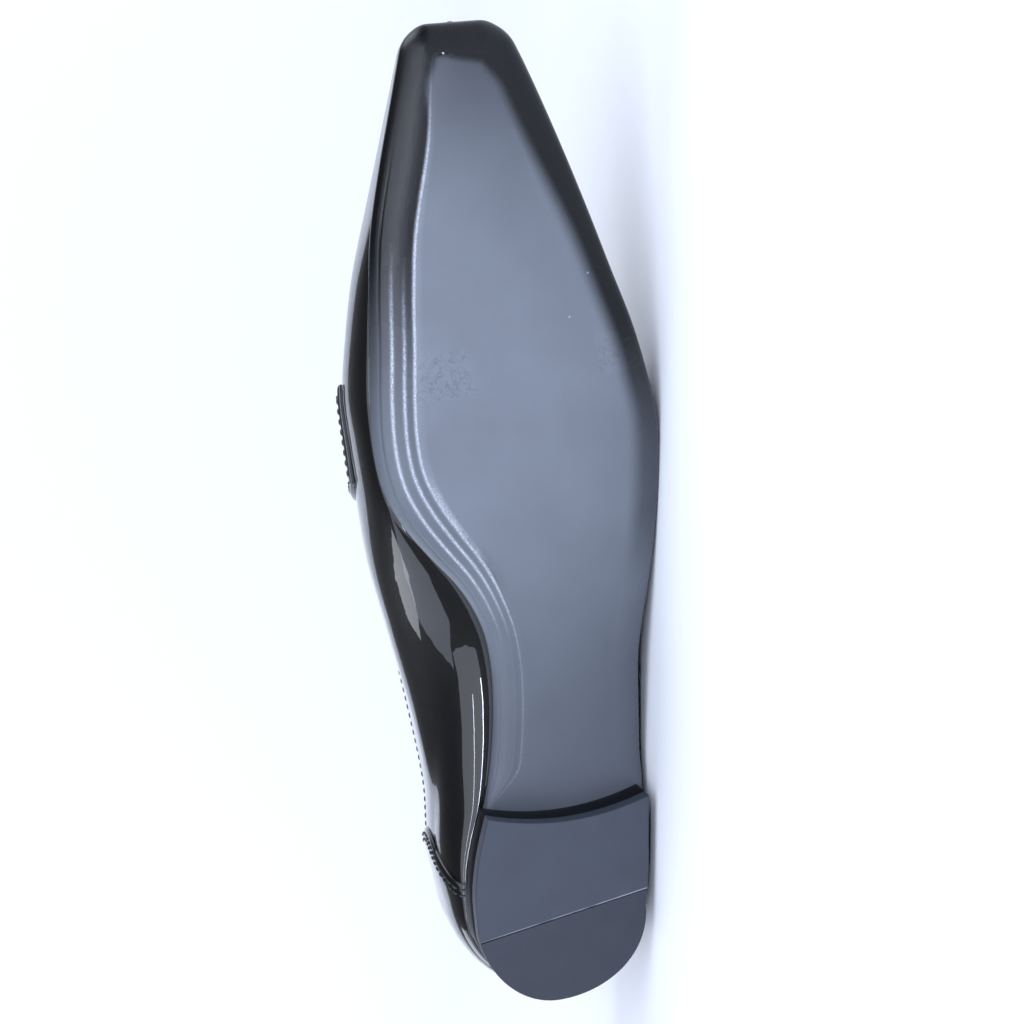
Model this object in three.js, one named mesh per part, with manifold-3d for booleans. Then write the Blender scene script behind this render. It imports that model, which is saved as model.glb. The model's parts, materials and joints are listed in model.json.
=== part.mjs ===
import * as THREE from 'three';
import Module from 'manifold-3d';
import { mergeVertices } from 'three/addons/utils/BufferGeometryUtils.js';
import { ConvexHull } from 'three/addons/math/ConvexHull.js';

// Left bit loafer with a long square toe, modelled standing and then laid on its outer side.
// Millimetres. Standing axes: X from the heel's back to the toe, Y towards the outer side, Z up.

// Driving sizes of the last and the sole
const outsoleLength = 312;
const ballWidth = 92;
const heelHeight = 16;
const toeSpring = 12;
const instepHeight = 62;
const backHeight = 60;
const treadThickness = 7.6;
const waistThickness = 5;
const toeCornerRadius = 8;
const heelRoundLength = 27;

// Driving sizes of the leather and the fittings
const upperWall = 2.2;
const featherInset = 1;
const clearance = 0.3;
const counterThickness = 1.1;
const strapThickness = 1.3;
const strapLength = 22;
const tongueThickness = 1.8;
const tongueWidth = 50;
const seamHeight = 0.9;
const seamWidth = 2.6;
const insoleThickness = 2.5;
const topPieceThickness = 6;
const bevelWidth = 10;
const bevelRise = 6.5;
const breastSag = 4.3;
const strapEndLength = 32;
const wireRadius = 1.6;
const ringLength = 19;
const ringWidth = 17;
const ringSpacing = 38;
const keeperWidth = 5;
const keeperThickness = 1.2;

// Densities in g/cm3, for the place where the shoe balances
const soleLeather = 1.05;
const upperLeather = 0.95;
const rubber = 1.2;
const metal = 7.9;

const wasm = await Module();
wasm.setup();

// Where the sole leaves the heel, lies flat and starts to rise, as shares of its length
const breastAt = 0.19;
const treadFrom = 0.625;
const treadTo = 0.712;

// Outline of the outsole. along: share of the length; inner and outer edge: shares of the ball width
const soleOutline = table(['along', 'inner', 'outer'], [
  [0.087, -0.314, 0.293],
  [0.122, -0.304, 0.318],
  [0.160, -0.266, 0.340],
  [0.199, -0.212, 0.362],
  [0.240, -0.178, 0.372],
  [0.288, -0.155, 0.379],
  [0.337, -0.148, 0.386],
  [0.378, -0.162, 0.408],
  [0.410, -0.197, 0.430],
  [0.439, -0.252, 0.450],
  [0.468, -0.330, 0.467],
  [0.497, -0.402, 0.482],
  [0.526, -0.455, 0.494],
  [0.554, -0.484, 0.500],
  [0.590, -0.497, 0.501],
  [0.631, -0.493, 0.480],
  [0.686, -0.475, 0.440],
  [0.744, -0.458, 0.380],
  [0.801, -0.430, 0.324],
  [0.859, -0.379, 0.266],
  [0.913, -0.323, 0.210],
  [0.962, -0.271, 0.156],
  [1.000, -0.229, 0.108],
]);

// Outline of the heel stack, in the same shares
const heelOutline = table(['along', 'inner', 'outer'], [
  [0.087, -0.314, 0.291],
  [0.122, -0.311, 0.311],
  [0.160, -0.286, 0.323],
  [0.201, -0.241, 0.336],
]);

// Sections of the last. inner, outer: widest points, shares of the ball width. widest: their height.
// aside, ridge: place of the top line, shares of the ball width and of the instep height.
// crown, under: roundness of the section above and below its widest points
const lastSections = table(
  ['along', 'inner', 'outer', 'widest', 'aside', 'ridge', 'crown', 'under'], [
  [0.087, -0.345, 0.330, 0.270, -0.015, 1.34, 2.4, 2.2],
  [0.130, -0.369, 0.360, 0.275, -0.010, 1.34, 2.4, 2.2],
  [0.199, -0.362, 0.389, 0.330, -0.005, 1.34, 2.3, 2.0],
  [0.288, -0.394, 0.413, 0.410, -0.010, 1.38, 2.2, 1.8],
  [0.378, -0.452, 0.440, 0.415, -0.025, 1.36, 2.1, 1.8],
  [0.458, -0.507, 0.478, 0.390, -0.043, 1.24, 2.1, 1.9],
  [0.526, -0.532, 0.499, 0.350, -0.050, 1.07, 2.1, 2.0],
  [0.590, -0.547, 0.503, 0.310, -0.058, 0.916, 2.1, 2.0],
  [0.640, -0.552, 0.481, 0.292, -0.062, 0.800, 2.1, 2.0],
  [0.700, -0.523, 0.430, 0.270, -0.066, 0.690, 2.1, 2.0],
  [0.760, -0.480, 0.366, 0.245, -0.068, 0.595, 2.2, 2.0],
  [0.830, -0.406, 0.290, 0.210, -0.066, 0.490, 2.3, 2.0],
  [0.900, -0.330, 0.214, 0.165, -0.062, 0.372, 2.5, 2.0],
  [0.962, -0.262, 0.145, 0.120, -0.060, 0.250, 2.8, 2.0],
  [1.000, -0.222, 0.100, 0.100, -0.060, 0.180, 3.0, 2.0],
]);

// Top edge of the upper in side view. along: share of the length; rise: share of the back height
const topLine = table(['along', 'rise'], [
  [0.000, 1.02],
  [0.060, 0.92],
  [0.140, 0.79],
  [0.240, 0.745],
  [0.330, 0.79],
  [0.400, 0.92],
  [0.440, 1.07],
  [0.462, 1.22],
]);

// Stations along each side between the round heel and the square toe, as shares of the length
const sideStations = [
  0.087, 0.122, 0.160, breastAt, 0.240, 0.288, 0.337, 0.378, 0.410, 0.439, 0.468, 0.497,
  0.526, 0.558, 0.590, treadFrom, 0.668, treadTo, 0.755, 0.801, 0.859, 0.913, 0.950,
];
const heelArcSteps = 6;
const toeArcSteps = 4;

// Turns rows of numbers into records that are read by column name
function table(columns, rows) {
  return rows.map((row) => Object.fromEntries(columns.map((name, i) => [name, row[i]])));
}

// Smooth curve through one column of a table
function column(records, name) {
  const slopes = records.map((_, i) => {
    const a = records[Math.max(i - 1, 0)];
    const b = records[Math.min(i + 1, records.length - 1)];
    return (b[name] - a[name]) / (b.along - a.along);
  });
  return (along) => {
    let i = 0;
    while (i < records.length - 2 && along > records[i + 1].along) i += 1;
    const a = records[i];
    const b = records[i + 1];
    const span = b.along - a.along;
    const t = THREE.MathUtils.clamp((along - a.along) / span, 0, 1);
    const h = t * t * (3 - 2 * t);
    const bend = span * (slopes[i] * t * (1 - t) * (1 - t) - slopes[i + 1] * t * t * (1 - t));
    return a[name] * (1 - h) + b[name] * h + bend;
  };
}

function fade(x, from, to) {
  return THREE.MathUtils.smoothstep(x / outsoleLength, from, to);
}

// Height of the sole's lower face: on the heel, falling through the waist, flat, then toe spring
function treadHeight(x) {
  const past = Math.max(x / outsoleLength - treadTo, 0) / (1 - treadTo);
  return heelHeight * (1 - fade(x, breastAt, treadFrom)) + toeSpring * past * past;
}

function soleThickness(x) {
  return THREE.MathUtils.lerp(waistThickness, treadThickness, fade(x, 0.4, treadFrom));
}

// Height of the line where the upper meets the sole
function featherHeight(x) {
  return treadHeight(x) + soleThickness(x) + clearance;
}

// One side of a plan outline, from the heel's back to the toe's front. edge gives the side's
// distance from the axis at a share of the length; inset moves the outline inwards
function halfOutline({ edge, back, front, heelAside, toeAside, inset = () => 0 }) {
  const points = [];
  const side = Math.sign(edge(0.5));
  const backInset = inset(0);
  const roundEnd = heelRoundLength;
  const roundEdge = edge(roundEnd / outsoleLength) - side * backInset;
  for (let i = 0; i < heelArcSteps; i += 1) {
    const angle = (i / heelArcSteps) * Math.PI / 2;
    const reach = roundEnd - back - backInset;
    const x = roundEnd - reach * Math.cos(angle);
    const middle = heelAside * Math.cos(angle);
    points.push([x, middle + (roundEdge - middle) * Math.sin(angle)]);
  }
  const shifted = (along, d) => {
    const step = 0.004;
    const slope = (edge(along + step) - edge(along - step)) / (2 * step * outsoleLength);
    return edge(along) - side * d * Math.hypot(1, slope);
  };
  for (const along of sideStations) {
    const x = along * outsoleLength;
    points.push([x, shifted(along, inset(x))]);
  }
  const toeInset = inset(front);
  const radius = Math.max(toeCornerRadius - toeInset, 2);
  const tip = front - toeInset;
  for (let i = 0; i <= toeArcSteps; i += 1) {
    const angle = (i / toeArcSteps) * Math.PI / 2;
    const x = tip - radius * (1 - Math.sin(angle));
    const line = shifted(Math.min(x / outsoleLength, 0.995), toeInset);
    points.push([x, line - side * radius * (1 - Math.cos(angle))]);
  }
  points.push([tip, toeAside]);
  return points;
}

// Both sides as one loop: the inner side from heel to toe, then the outer side back again
function loop(inner, outer) {
  return [...inner, ...outer.slice(1, -1).reverse()];
}

// Index of the point across the sole from point i of a loop
function across(i, count) {
  return (count - i) % count;
}

const heelAside = -0.046 * ballWidth;
const toeAside = -0.061 * ballWidth;
const inSole = column(soleOutline, 'inner');
const outSole = column(soleOutline, 'outer');

function soleLoop(inset) {
  const shape = { back: 0, front: outsoleLength, heelAside, toeAside, inset };
  return loop(
    halfOutline({ edge: (along) => inSole(along) * ballWidth, ...shape }),
    halfOutline({ edge: (along) => outSole(along) * ballWidth, ...shape }),
  );
}

// Closed geometry from rings of points: side walls between rings, strips across both ends
function ringSolid(rings) {
  const count = rings[0].length;
  const positions = rings.flat().flatMap((p) => [p.x, p.y, p.z]);
  const index = [];
  const quad = (a, b, c, d) => index.push(a, b, c, a, c, d);
  for (let r = 0; r < rings.length - 1; r += 1) {
    for (let i = 0; i < count; i += 1) {
      const next = (i + 1) % count;
      quad(r * count + i, r * count + next, (r + 1) * count + next, (r + 1) * count + i);
    }
  }
  const last = (rings.length - 1) * count;
  for (let i = 0; i < count / 2; i += 1) {
    const far = across(i, count);
    const farNext = across(i + 1, count);
    quad(far, farNext, i + 1, i);
    quad(last + i, last + i + 1, last + farNext, last + far);
  }
  const geometry = new THREE.BufferGeometry();
  geometry.setAttribute('position', new THREE.Float32BufferAttribute(positions, 3));
  geometry.setIndex(index);
  return geometry;
}

// Merged copy of a geometry without triangles that have shrunk to a line
function cleaned(geometry) {
  const bare = geometry.clone();
  bare.deleteAttribute('normal');
  bare.deleteAttribute('uv');
  const merged = mergeVertices(bare, 1e-4);
  const index = merged.index.array;
  const kept = [];
  for (let i = 0; i < index.length; i += 3) {
    const [a, b, c] = [index[i], index[i + 1], index[i + 2]];
    if (a !== b && b !== c && c !== a) kept.push(a, b, c);
  }
  merged.setIndex(kept);
  return merged;
}

function solid(geometry) {
  const closed = cleaned(geometry);
  return new wasm.Manifold(new wasm.Mesh({
    numProp: 3,
    vertProperties: new Float32Array(closed.attributes.position.array),
    triVerts: new Uint32Array(closed.index.array),
  }));
}

function surface(body) {
  const mesh = body.getMesh();
  const geometry = new THREE.BufferGeometry();
  geometry.setAttribute('position', new THREE.BufferAttribute(mesh.vertProperties, 3));
  geometry.setIndex(new THREE.BufferAttribute(mesh.triVerts, 1));
  return geometry;
}

// Upright prism with a plan outline of [x, y] points
function uprightPrism(points, from, to) {
  const shape = new THREE.Shape(points.map(([x, y]) => new THREE.Vector2(x, y)));
  const geometry = new THREE.ExtrudeGeometry(shape, { depth: to - from, bevelEnabled: false });
  return geometry.translate(0, 0, from);
}

// Points along a smooth curve through a few chosen ones
function curved(points, steps) {
  const curve = new THREE.SplineCurve(points.map(([x, y]) => new THREE.Vector2(x, y)));
  return curve.getPoints(steps).map((p) => [p.x, p.y]);
}

// Prism across the shoe with a side-view outline of [x, z] points
function crossPrism(points, halfWidth = ballWidth) {
  const geometry = uprightPrism(points, -halfWidth, halfWidth);
  return geometry.rotateX(Math.PI / 2);
}

// The last, as rings of points from the feather line to the top line
const last = Object.fromEntries(
  Object.keys(lastSections[0]).map((name) => [name, column(lastSections, name)]),
);
const lastBack = -1.5;
const ridgeFrom = 0.075;
const ridgeTo = 0.962;
const lowerRows = 5;
const upperRows = 9;

function lastRings() {
  const feather = soleLoop(() => featherInset);
  const bulgeShape = { back: lastBack, front: outsoleLength - 0.6, heelAside, toeAside };
  const bulge = loop(
    halfOutline({ edge: (along) => last.inner(along) * ballWidth, ...bulgeShape }),
    halfOutline({ edge: (along) => last.outer(along) * ballWidth, ...bulgeShape }),
  );
  const rings = Array.from({ length: lowerRows + upperRows + 1 }, () => []);
  feather.forEach(([fx, fy], i) => {
    const [bx, by] = bulge[i];
    const along = bx / outsoleLength;
    const ridgeAlong = THREE.MathUtils.clamp(along, ridgeFrom, ridgeTo);
    const foot = new THREE.Vector3(fx, fy, featherHeight(fx));
    const widest = new THREE.Vector3(bx, by, featherHeight(bx) + last.widest(along) * instepHeight);
    const top = new THREE.Vector3(
      ridgeAlong * outsoleLength,
      last.aside(ridgeAlong) * ballWidth,
      featherHeight(ridgeAlong * outsoleLength) + last.ridge(ridgeAlong) * instepHeight,
    );
    for (let r = 0; r < lowerRows; r += 1) {
      const angle = (r / lowerRows) * Math.PI / 2;
      const out = Math.sin(angle) ** (2 / last.under(along));
      const up = 1 - Math.cos(angle) ** (2 / last.under(along));
      rings[r].push(new THREE.Vector3(
        THREE.MathUtils.lerp(foot.x, widest.x, out),
        THREE.MathUtils.lerp(foot.y, widest.y, out),
        THREE.MathUtils.lerp(foot.z, widest.z, up),
      ));
    }
    for (let r = 0; r <= upperRows; r += 1) {
      const angle = (r / upperRows) * Math.PI / 2;
      const crown = last.crown(along);
      const inward = r === upperRows ? 1 : 1 - Math.cos(angle) ** (2 / crown);
      rings[lowerRows + r].push(new THREE.Vector3(
        THREE.MathUtils.lerp(widest.x, top.x, inward),
        THREE.MathUtils.lerp(widest.y, top.y, inward),
        THREE.MathUtils.lerp(widest.z, top.z, Math.sin(angle) ** (2 / crown)),
      ));
    }
  });
  return rings;
}

// Outward directions of the last's points, from the walls alone
function ringNormals(rings) {
  const count = rings[0].length;
  const sums = new Map();
  const key = (p) => `${p.x.toFixed(3)},${p.y.toFixed(3)},${p.z.toFixed(3)}`;
  const add = (p, n) => {
    if (!sums.has(key(p))) sums.set(key(p), new THREE.Vector3());
    sums.get(key(p)).add(n);
  };
  const triangle = (a, b, c) => {
    const n = b.clone().sub(a).cross(c.clone().sub(a));
    [a, b, c].forEach((p) => add(p, n));
  };
  for (let r = 0; r < rings.length - 1; r += 1) {
    for (let i = 0; i < count; i += 1) {
      const next = (i + 1) % count;
      triangle(rings[r][i], rings[r][next], rings[r + 1][next]);
      triangle(rings[r][i], rings[r + 1][next], rings[r + 1][i]);
    }
  }
  return rings.map((ring) => ring.map((p) => sums.get(key(p)).clone().normalize()));
}

const baseRings = lastRings();
const baseNormals = ringNormals(baseRings);

// The last's form, grown by offset; drop lengthens it below the feather line
function lastForm(offset, drop = 0) {
  const rings = baseRings.map((ring, r) => ring.map((p, i) => (
    p.clone().addScaledVector(baseNormals[r][i], offset)
  )));
  if (drop > 0) {
    rings.unshift(rings[0].map((p) => new THREE.Vector3(p.x, p.y, p.z - drop)));
  }
  return solid(ringSolid(rings));
}

const seatHeight = featherHeight(0);

// Everything above the top edge of the quarters
function collarCut() {
  const rise = column(topLine, 'rise');
  const steps = 22;
  const from = topLine[0].along;
  const to = topLine[topLine.length - 1].along;
  const edge = Array.from({ length: steps + 1 }, (_, i) => {
    const along = THREE.MathUtils.lerp(from, to, i / steps);
    return [along * outsoleLength, seatHeight + rise(along) * backHeight];
  });
  const high = seatHeight + 2 * instepHeight;
  const back = -heelRoundLength;
  return crossPrism([
    [back, edge[0][1]],
    ...edge,
    [edge[steps][0], high],
    [back, high],
  ]);
}

const strapFront = 0.583 * outsoleLength;
const strapSweep = 21;
const strapFoot = featherHeight(strapFront) + 0.30 * instepHeight;
const strapTop = featherHeight(strapFront) + 1.5 * instepHeight;
const strapCrown = featherHeight(strapFront) + 0.95 * instepHeight;

// Side view of the saddle strap: it runs down and forwards, and widens to its stitched ends
function strapOutline(margin = 0) {
  const front = strapFront + margin;
  const back = strapFront - strapLength;
  const frontEdge = curved([
    [front, strapCrown],
    [front + 0.12 * strapSweep, strapFoot + 0.52 * instepHeight],
    [front + 0.42 * strapSweep, strapFoot + 0.30 * instepHeight],
    [front + strapSweep, strapFoot],
  ], 9);
  const backEdge = curved([
    [strapFront + strapSweep - strapEndLength, strapFoot + 0.03 * instepHeight],
    [back + 0.28 * strapSweep, strapFoot + 0.18 * instepHeight],
    [back + 0.08 * strapSweep, strapFoot + 0.40 * instepHeight],
    [back, strapCrown],
  ], 9);
  return [[front, strapTop], ...frontEdge, ...backEdge, [back, strapTop]];
}

// Plan line of the apron seam, given as a share of the way from the ridge to the last's side
const apronShare = table(['along', 'share'], [
  [0.590, 0.56],
  [0.700, 0.58],
  [0.850, 0.62],
  [1.000, 0.64],
]);

function apronBand() {
  const share = column(apronShare, 'share');
  const start = strapFront;
  const front = outsoleLength - 5;
  const corner = toeCornerRadius;
  const steps = 12;
  const arcSteps = 4;
  const halfLine = (side, shift) => {
    const points = [];
    const at = (x) => {
      const along = x / outsoleLength;
      const middle = last.aside(along);
      return (middle + share(along) * (last[side](along) - middle)) * ballWidth;
    };
    const sign = side === 'inner' ? -1 : 1;
    for (let i = 0; i <= steps; i += 1) {
      const x = THREE.MathUtils.lerp(start, front - corner, i / steps);
      points.push([x, at(x) + sign * shift]);
    }
    const turn = corner + shift;
    for (let i = 1; i <= arcSteps; i += 1) {
      const angle = (i / arcSteps) * Math.PI / 2;
      const x = front - corner + turn * Math.sin(angle);
      const inward = turn * (1 - Math.cos(angle));
      points.push([x, at(front - corner) + sign * shift - sign * inward]);
    }
    return points;
  };
  const outer = [...halfLine('inner', seamWidth / 2), ...halfLine('outer', seamWidth / 2).reverse()];
  const inner = [...halfLine('inner', -seamWidth / 2), ...halfLine('outer', -seamWidth / 2).reverse()];
  const low = featherHeight(outsoleLength) + 0.08 * instepHeight;
  return uprightPrism([...outer, ...inner.reverse()], low, strapTop);
}

// Upright seam down the middle of the toe's front
function toeSeam() {
  const low = featherHeight(outsoleLength);
  return uprightPrism([
    [outsoleLength - 2 * toeCornerRadius, toeAside - seamWidth / 2],
    [outsoleLength + toeCornerRadius, toeAside - seamWidth / 2],
    [outsoleLength + toeCornerRadius, toeAside + seamWidth / 2],
    [outsoleLength - 2 * toeCornerRadius, toeAside + seamWidth / 2],
  ], low + clearance, low + 0.22 * instepHeight);
}

function upperGeometry() {
  const drop = 6;
  const outer = lastForm(0);
  const underStrap = solid(crossPrism(strapOutline(2 * clearance)));
  const seam = solid(apronBand()).add(solid(toeSeam())).intersect(lastForm(seamHeight))
    .subtract(lastForm(-upperWall / 2)).subtract(underStrap);
  return surface(outer.add(seam).subtract(lastForm(-upperWall, drop)).subtract(solid(collarCut())));
}

// Side view of the back counter: its front edge leans forwards, then back to the top edge
function counterGeometry() {
  const foot = seatHeight;
  const frontEdge = curved([
    [0.118 * outsoleLength, foot + clearance],
    [0.138 * outsoleLength, foot + 0.18 * backHeight],
    [0.152 * outsoleLength, foot + 0.38 * backHeight],
    [0.154 * outsoleLength, foot + 0.55 * backHeight],
    [0.142 * outsoleLength, foot + 0.72 * backHeight],
    [0.112 * outsoleLength, foot + 1.20 * backHeight],
  ], 12);
  const outline = [
    [-heelRoundLength, foot + clearance],
    ...frontEdge,
    [-heelRoundLength, foot + 1.20 * backHeight],
  ];
  const band = lastForm(clearance + counterThickness).subtract(lastForm(clearance));
  return surface(band.intersect(solid(crossPrism(outline))).subtract(solid(collarCut())));
}

function strapGeometry() {
  const band = lastForm(clearance + strapThickness).subtract(lastForm(clearance));
  return surface(band.intersect(solid(crossPrism(strapOutline()))));
}

// The tongue lies under the apron and stands up behind the strap
function tongueGeometry() {
  const under = -upperWall - clearance;
  const band = lastForm(under).subtract(lastForm(under - tongueThickness));
  const middle = last.aside(0.5) * ballWidth;
  const half = tongueWidth / 2;
  const back = 0.395 * outsoleLength;
  const front = strapFront - 0.1 * strapLength;
  const round = 0.6 * half;
  const plan = [
    [front, middle - half],
    [back + round, middle - 0.9 * half],
    [back + 0.35 * round, middle - 0.72 * half],
    [back + 0.06 * round, middle - 0.4 * half],
    [back, middle],
    [back + 0.06 * round, middle + 0.4 * half],
    [back + 0.35 * round, middle + 0.72 * half],
    [back + round, middle + 0.9 * half],
    [front, middle + half],
  ];
  const low = featherHeight(strapFront) + 0.5 * instepHeight;
  return surface(band.intersect(solid(uprightPrism(plan, low, 3 * instepHeight))));
}

// The outsole: top face, upright edge, rounded border and the tread
function outsoleGeometry() {
  const borderSteps = 4;
  const border = (x) => {
    const waist = THREE.MathUtils.lerp(0.06, 0.7, fade(x, breastAt, breastAt + 0.05));
    return THREE.MathUtils.lerp(waist, 1, fade(x, 0.4, 0.55));
  };
  const ring = (inset, height) => soleLoop(inset).map(([x, y]) => (
    new THREE.Vector3(x, y, height(x))
  ));
  const rings = [];
  for (let i = 0; i <= borderSteps; i += 1) {
    const angle = (i / borderSteps) * Math.PI / 2;
    rings.push(ring(
      (x) => border(x) * bevelWidth * (1 - Math.sin(angle)),
      (x) => treadHeight(x) + border(x) * bevelRise * (1 - Math.cos(angle)),
    ));
  }
  rings.push(ring(() => 0, (x) => treadHeight(x) + soleThickness(x)));
  return ringSolid(rings);
}

function insoleGeometry() {
  const plan = soleLoop(() => featherInset + upperWall + 2 * clearance);
  const ring = (lift) => plan.map(([x, y]) => new THREE.Vector3(x, y, featherHeight(x) + lift));
  return ringSolid([ring(0), ring(insoleThickness)]);
}

// Plan outline of the heel, from the breast's inner corner round the back to its outer corner
function heelPlan() {
  const side = (name) => {
    const edge = column(heelOutline, name);
    const shape = { back: 0, front: outsoleLength, heelAside, toeAside };
    const points = halfOutline({ edge: (along) => edge(along) * ballWidth, ...shape });
    const corner = heelOutline[heelOutline.length - 1].along;
    const kept = points.filter(([x]) => x < corner * outsoleLength - 1);
    kept.push([corner * outsoleLength, edge(corner) * ballWidth]);
    return kept;
  };
  const inner = side('inner').reverse();
  const outer = side('outer').slice(1);
  const [ix, iy] = inner[0];
  const [ox, oy] = outer[outer.length - 1];
  const breastSteps = 6;
  const breast = [];
  for (let i = 1; i < breastSteps; i += 1) {
    const t = i / breastSteps;
    const sag = 4 * breastSag * t * (1 - t);
    breast.push([THREE.MathUtils.lerp(ox, ix, t) - sag, THREE.MathUtils.lerp(oy, iy, t)]);
  }
  return [...inner, ...outer, ...breast];
}

// Half plane of the heel on one side of the slanted joint between rubber and leather
function jointSide(towardsBack) {
  const innerEnd = [0.063 * outsoleLength, -ballWidth / 2];
  const outerEnd = [0.113 * outsoleLength, ballWidth / 2];
  const shift = towardsBack ? -clearance / 2 : clearance / 2;
  const far = towardsBack ? -outsoleLength : outsoleLength;
  return uprightPrism([
    [innerEnd[0] + shift, innerEnd[1]],
    [outerEnd[0] + shift, outerEnd[1]],
    [far, outerEnd[1]],
    [far, innerEnd[1]],
  ], -1, heelHeight);
}

function topPieceGeometry(towardsBack) {
  const plate = solid(uprightPrism(heelPlan(), 0, topPieceThickness));
  return surface(plate.intersect(solid(jointSide(towardsBack))));
}

// Point and outward direction on the last's top, lifted by offset
function onTop(x, y, offset) {
  const point = (px, py) => {
    const along = px / outsoleLength;
    const ridgeY = last.aside(along) * ballWidth;
    const side = py < ridgeY ? last.inner(along) : last.outer(along);
    const reach = Math.min(Math.abs((py - ridgeY) / (side * ballWidth - ridgeY)), 1);
    const crown = last.crown(along);
    const low = last.widest(along) * instepHeight;
    const rise = (last.ridge(along) * instepHeight - low) * (1 - reach ** crown) ** (1 / crown);
    return new THREE.Vector3(px, py, featherHeight(px) + low + rise);
  };
  const d = 0.5;
  const alongX = point(x + d, y).sub(point(x - d, y));
  const alongY = point(x, y + d).sub(point(x, y - d));
  const normal = alongX.cross(alongY).normalize();
  return { at: point(x, y).addScaledVector(normal, offset), normal };
}

// Solid swept through frames; section(i) lists [out, aside] offsets from the path
function sweep(frames, section, closed) {
  const count = frames.length;
  const rings = frames.map(({ at, normal }, i) => {
    const before = frames[closed ? (i + count - 1) % count : Math.max(i - 1, 0)].at;
    const after = frames[closed ? (i + 1) % count : Math.min(i + 1, count - 1)].at;
    const ahead = after.clone().sub(before).normalize();
    const aside = ahead.clone().cross(normal).normalize();
    const out = aside.clone().cross(ahead).normalize();
    return section(i).map(([a, b]) => at.clone().addScaledVector(out, a).addScaledVector(aside, b));
  });
  const sides = rings[0].length;
  const positions = rings.flat().flatMap((p) => [p.x, p.y, p.z]);
  const index = [];
  const spans = closed ? count : count - 1;
  for (let r = 0; r < spans; r += 1) {
    for (let s = 0; s < sides; s += 1) {
      const a = r * sides + s;
      const b = r * sides + (s + 1) % sides;
      const c = ((r + 1) % count) * sides + (s + 1) % sides;
      const d = ((r + 1) % count) * sides + s;
      index.push(a, b, c, a, c, d);
    }
  }
  if (!closed) {
    const end = (count - 1) * sides;
    for (let s = 1; s < sides - 1; s += 1) {
      index.push(0, s + 1, s, end, end + s, end + s + 1);
    }
  }
  const geometry = new THREE.BufferGeometry();
  geometry.setAttribute('position', new THREE.Float32BufferAttribute(positions, 3));
  geometry.setIndex(index);
  return surface(solid(geometry));
}

function roundSection(radius, sides = 8) {
  return Array.from({ length: sides }, (_, s) => {
    const angle = (s / sides) * 2 * Math.PI;
    return [radius * Math.cos(angle), radius * Math.sin(angle)];
  });
}

const bitX = strapFront - strapLength / 2;
const bitY = last.aside(bitX / outsoleLength) * ballWidth;
const strapFace = clearance + strapThickness;
const bitLift = strapFace + clearance + wireRadius;

// Oval wire ring that follows the instep
function ringGeometry(side) {
  const steps = 28;
  const frames = Array.from({ length: steps }, (_, i) => {
    const angle = (i / steps) * 2 * Math.PI;
    const x = bitX + (ringLength / 2 - wireRadius) * Math.cos(angle);
    const y = bitY + side * ringSpacing / 2 + (ringWidth / 2 - wireRadius) * Math.sin(angle);
    return onTop(x, y, bitLift);
  });
  return sweep(frames, () => roundSection(wireRadius), true);
}

// Bar between the rings: two tapered links and the joint between them
function barGeometry() {
  const half = ringSpacing / 2 - ringWidth / 2 - clearance;
  const shares = [-1, -0.8, -0.5, -0.24, -0.2, -0.12, 0, 0.12, 0.2, 0.24, 0.5, 0.8, 1];
  const girth = [1.0, 1.25, 1.05, 0.8, 1.2, 1.5, 1.55, 1.5, 1.2, 0.8, 1.05, 1.25, 1.0];
  const lift = bitLift + 0.55 * wireRadius;
  const frames = shares.map((share) => onTop(bitX, bitY + share * half, lift));
  return sweep(frames, (i) => roundSection(wireRadius * girth[i], 10), false);
}

// Leather loop from the strap over the outer side of a ring
function keeperGeometry(side) {
  const bow = wireRadius + 3 * clearance + keeperThickness / 2;
  const foot = strapFace + clearance + keeperThickness / 2;
  const middle = bitY + side * (ringSpacing / 2 + ringWidth / 2 - wireRadius);
  const half = [
    [1.6 * bow, foot],
    [1.15 * bow, foot + 0.1 * bow],
    [0.97 * bow, bitLift + 0.25 * bow],
    [0.62 * bow, bitLift + 0.79 * bow],
  ];
  const path = [...half.map(([out, lift]) => [-out, lift]), [0, bitLift + bow], ...half.reverse()];
  const frames = path.map(([out, lift]) => onTop(bitX, middle + side * out, lift));
  const a = keeperThickness / 2;
  const b = keeperWidth / 2;
  return sweep(frames, () => [[-a, -b], [a, -b], [a, b], [-a, b]], false);
}

const patentBlack = { color: 0x08080a, roughness: 0.08, metalness: 0 };
const soleBlack = { color: 0x2b2e36, roughness: 0.38, metalness: 0 };
const edgeBlack = { color: 0x0d0d0f, roughness: 0.35, metalness: 0 };
const rubberBlack = { color: 0x232427, roughness: 0.55, metalness: 0 };
const liningBlack = { color: 0x151416, roughness: 0.7, metalness: 0 };
const goldBrass = { color: 0xc9a35a, roughness: 0.18, metalness: 1 };

const pieces = [
  ['outsole', outsoleGeometry(), soleBlack, soleLeather],
  ['heel_base', uprightPrism(heelPlan(), topPieceThickness + clearance, heelHeight - clearance),
    edgeBlack, soleLeather],
  ['top_piece_leather', topPieceGeometry(false), soleBlack, soleLeather],
  ['top_piece_rubber', topPieceGeometry(true), rubberBlack, rubber],
  ['insole', insoleGeometry(), liningBlack, upperLeather],
  ['upper', upperGeometry(), patentBlack, upperLeather],
  ['heel_counter', counterGeometry(), patentBlack, upperLeather],
  ['tongue', tongueGeometry(), patentBlack, upperLeather],
  ['strap', strapGeometry(), patentBlack, upperLeather],
  ['bit_ring_inner', ringGeometry(-1), goldBrass, metal],
  ['bit_ring_outer', ringGeometry(1), goldBrass, metal],
  ['bit_bar', barGeometry(), goldBrass, metal],
  ['bit_keeper_inner', keeperGeometry(-1), patentBlack, upperLeather],
  ['bit_keeper_outer', keeperGeometry(1), patentBlack, upperLeather],
];

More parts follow.
